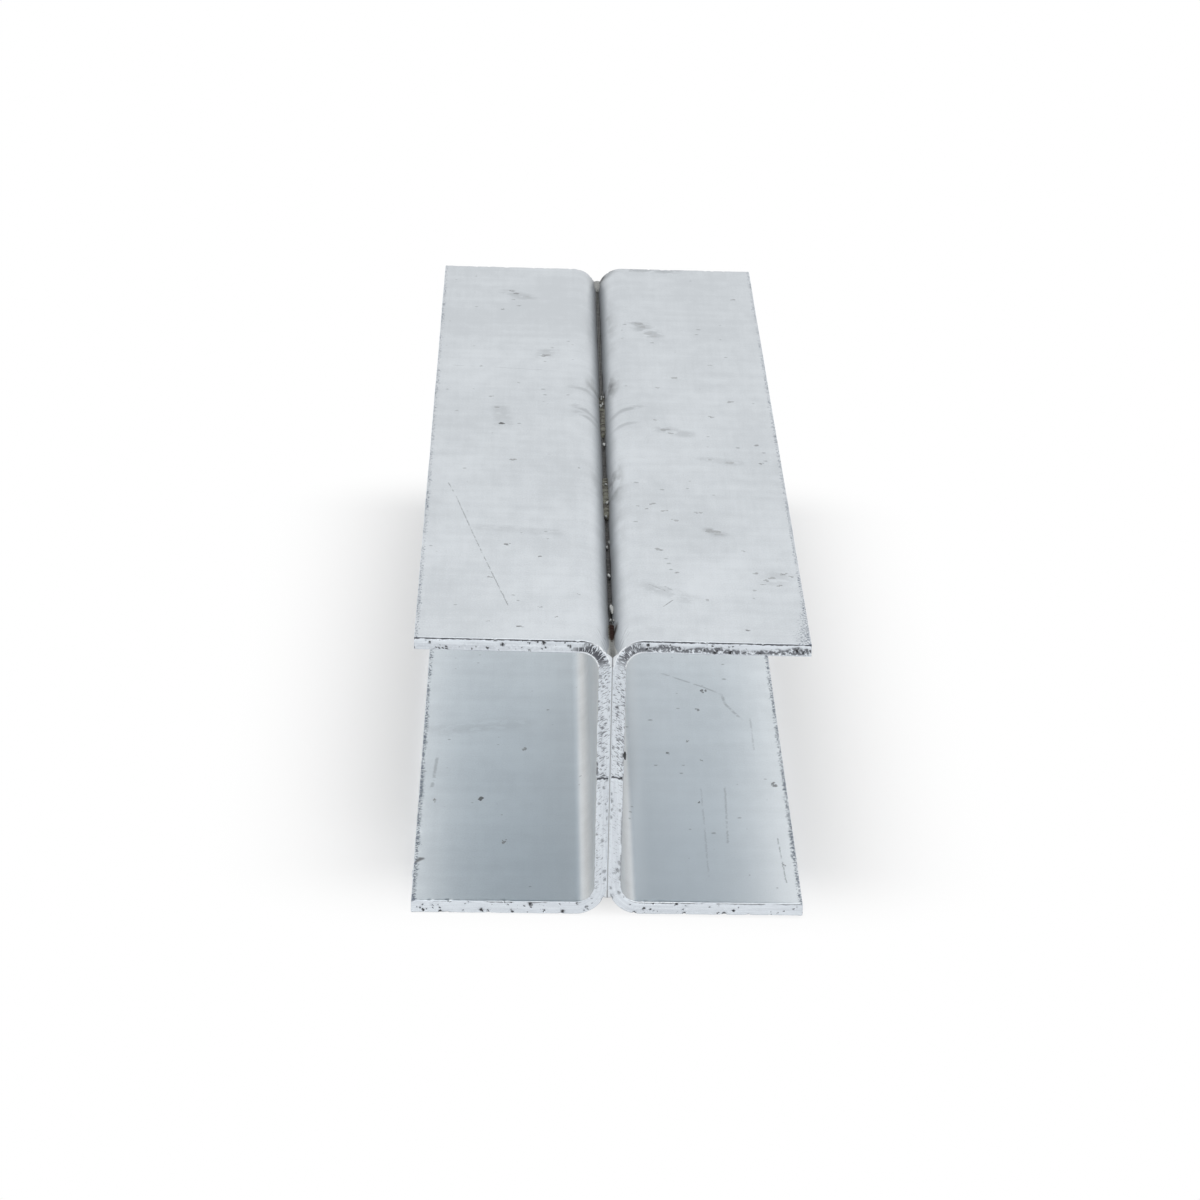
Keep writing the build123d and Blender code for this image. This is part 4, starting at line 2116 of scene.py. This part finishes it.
RIGHT_SPECKS = (
    *specks(
        Side.RIGHT, Face.UPPER_OUTSIDE,
        (14, 157, 1.6, 0.45), (16, 152, 1.4, 0.40), (18, 142, 1.6, 0.25), (20, 138, 1.0, 0.25),
        (52, 201, 0.9, 0.45), (26, 75, 1.3, 0.35), (46, 42, 1.1, 0.40), (38, 20, 1.1, 0.35),
        (21, 0, 1.5, 0.45), (24, -3, 1.3, 0.40), (18, 14, 0.8, 0.30), (42, -41, 1.6, 0.30),
        (36, -38, 1.0, 0.25), (53, -42, 1.0, 0.65), (53, -18, 0.9, 0.55), (34, -127, 2.0, 0.45),
        (36, -131, 1.2, 0.35), (30, -106, 1.1, 0.40), (15, -96, 0.9, 0.45), (19, -104, 1.3, 0.35),
        (22, -115, 1.2, 0.35), (13, -102, 0.7, 0.45), (10, -99, 0.6, 0.40), (16, -150, 1.3, 0.45),
        (21, -176, 0.9, 0.50), (49, -183, 1.2, 0.45), (55, -175, 1.1, 0.55), (51, -180, 1.0, 0.40),
        (48, -188, 0.8, 0.45), (53, -188, 0.8, 0.50), (57, -178, 0.7, 0.50), (46, -175, 0.9, 0.45),
        (41, -237, 0.9, 0.65), (45, -194, 0.6, 0.35), (30, -206, 0.8, 0.30), (43, -150, 0.6, 0.30),
        (20, 60, 0.7, 0.30), (40, 95, 0.7, 0.25),
    ),
    *specks(
        Side.RIGHT, Face.LOWER_INSIDE,
        (36, -37, 1.1, 0.60), (33, -58, 0.9, 0.45), (22, -105, 0.8, 0.50), (56, -136, 1.2, 0.50),
        (31, -155, 0.5, 0.65), (29, -92, 0.6, 0.30), (56, -215, 0.6, 0.45), (33, -112, 0.5, 0.35),
    ),
)

SOOT = (
    Soot(Side.RIGHT, -62, 38, 0.85), Soot(Side.RIGHT, 68, 24, 1.00), Soot(Side.RIGHT, -120, 50, 0.35),
    Soot(Side.RIGHT, -221, 11, 1.70, 6.2), Soot(Side.RIGHT, 160, 70, 0.45), Soot(Side.RIGHT, 250, 14, 0.90),
    Soot(Side.LEFT, -60, 26, 0.40), Soot(Side.LEFT, 70, 22, 0.80), Soot(Side.LEFT, 150, 60, 0.30),
)

DRIPS = (
    Drip(-212.0, 1.2, 1.8, 5.3), Drip(-199.5, 9.0, 1.5, 5.8), Drip(-159.5, 3.0, 1.1, 6.2),
    Drip(-126.0, 3.0, 0.9, 6.4, -0.2), Drip(-121.0, 3.5, 1.0, 6.4, 0.2), Drip(-92.0, 2.6, 1.0, 5.5, -0.2),
    Drip(-75.0, 2.2, 1.1, 5.5, 0.3), Drip(-52.0, 2.6, 1.0, 5.5), Drip(2.0, 3.0, 1.1, 6.0),
    Drip(65.0, 6.0, 1.5, 5.4), Drip(56.0, 5.0, 1.2, 5.5),
)

LEFT_SEED = 0.23
RIGHT_SEED = 0.61

LEFT_NICKS = (
    Nick(False, -213.0, 3.0, 0.9), Nick(False, -222.0, 2.0, -0.4), Nick(False, -150.0, 1.8, 0.35),
    Nick(True, -168.0, 2.2, 0.35), Nick(True, 60.0, 2.0, 0.35), Nick(False, 120.0, 2.4, 0.4),
)

RIGHT_NICKS = (
    Nick(True, -196.0, 2.4, 0.4), Nick(True, -228.0, 2.6, 0.45), Nick(True, 140.0, 2.2, 0.4),
    Nick(False, -180.0, 2.0, 0.4), Nick(False, -60.0, 2.2, 0.35), Nick(False, 90.0, 2.4, 0.4),
)


def main() -> None:
    """Builds the post and its studio."""
    logging.basicConfig(level=logging.INFO, format="%(name)s: %(message)s")
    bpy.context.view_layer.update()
    fold = Fold.of_frame()
    groups = Groups.made()

    dross = Dross(groups).dress()

    left_sheet = ZincSheet(
        Side.LEFT, fold, groups, MARKS, SOOT, LEFT_SEED,
        inside_bright=(0.695, 0.755, 0.795), inside_dull=(0.588, 0.640, 0.680),
        inside_roughness=0.30, inside_front_light=0.10, inside_highlight=0.30, bend_highlight=0.04,
        soot_and_shade_share=0.86, front_clean=0.55, corner_crumbs=0.0,
        web_shade=(0.482, 0.503, 0.512), web_shade_reach=0.95, web_shade_rise=0.0,
    )
    left_cut = CutZinc(
        Side.LEFT, fold, groups, MARKS, LEFT_SEED, band_strength=0.10, fan_strength=0.97,
    )
    left = FoldedChannel(
        fold, Side.LEFT, LEFT_SEED, splay=0.006, lift=0.0, nicks=LEFT_NICKS, band_depth=0.10 * MM,
    )

    right_sheet = ZincSheet(
        Side.RIGHT, fold, groups, MARKS, SOOT, RIGHT_SEED,
        inside_bright=(0.740, 0.795, 0.835), inside_dull=(0.636, 0.685, 0.722),
        inside_roughness=0.30, inside_front_light=0.35, inside_highlight=0.42, bend_highlight=0.50,
        soot_and_shade_share=1.00, front_clean=0.35, corner_crumbs=1.0,
        web_shade=(0.418, 0.443, 0.462), web_shade_reach=1.05, web_shade_rise=0.30,
    )
    right_cut = CutZinc(
        Side.RIGHT, fold, groups, MARKS, RIGHT_SEED, band_strength=0.84, fan_strength=0.80,
    )
    right = FoldedChannel(
        fold, Side.RIGHT, RIGHT_SEED, splay=-0.006, lift=0.3 * MM, nicks=RIGHT_NICKS, band_depth=0.35 * MM,
    )

    for channel, sheet, cut, flakes in (
        (left, left_sheet, left_cut, LEFT_SPECKS),
        (right, right_sheet, right_cut, RIGHT_SPECKS),
    ):
        piece = channel.build(sheet.dress(), cut.dress())
        DrossFlakes(fold, piece, flakes).build(f"{channel.side.label}_dross_flakes", dross)
    RimCrust(fold).build(dross)

    StitchWelds(fold).build(WeldMetal(groups, fold).dress())
    ZincDrips(fold, DRIPS).build(DripZinc(groups).dress())
    end_film = FilmZinc(
        groups, "end_film_zinc",
        front=(0.745, 0.795, 0.845), rear=(0.745, 0.795, 0.845), seam=(0.35, 0.365, 0.385),
    )
    # Soot and flux in the grooves, near black and darkest towards the front as painted shade of the deep
    # groove
    groove_soot_and_shade_film = FilmZinc(
        groups, "groove_film_zinc",
        front=(0.016, 0.016, 0.016), rear=(0.092, 0.097, 0.095), seam=(0.009, 0.009, 0.009),
    )
    seam = SeamZinc(fold)
    seam.close_ends(end_film.dress())
    seam.line_grooves(groove_soot_and_shade_film.dress())

    Studio().build()


if __name__ == "__main__":
    main()
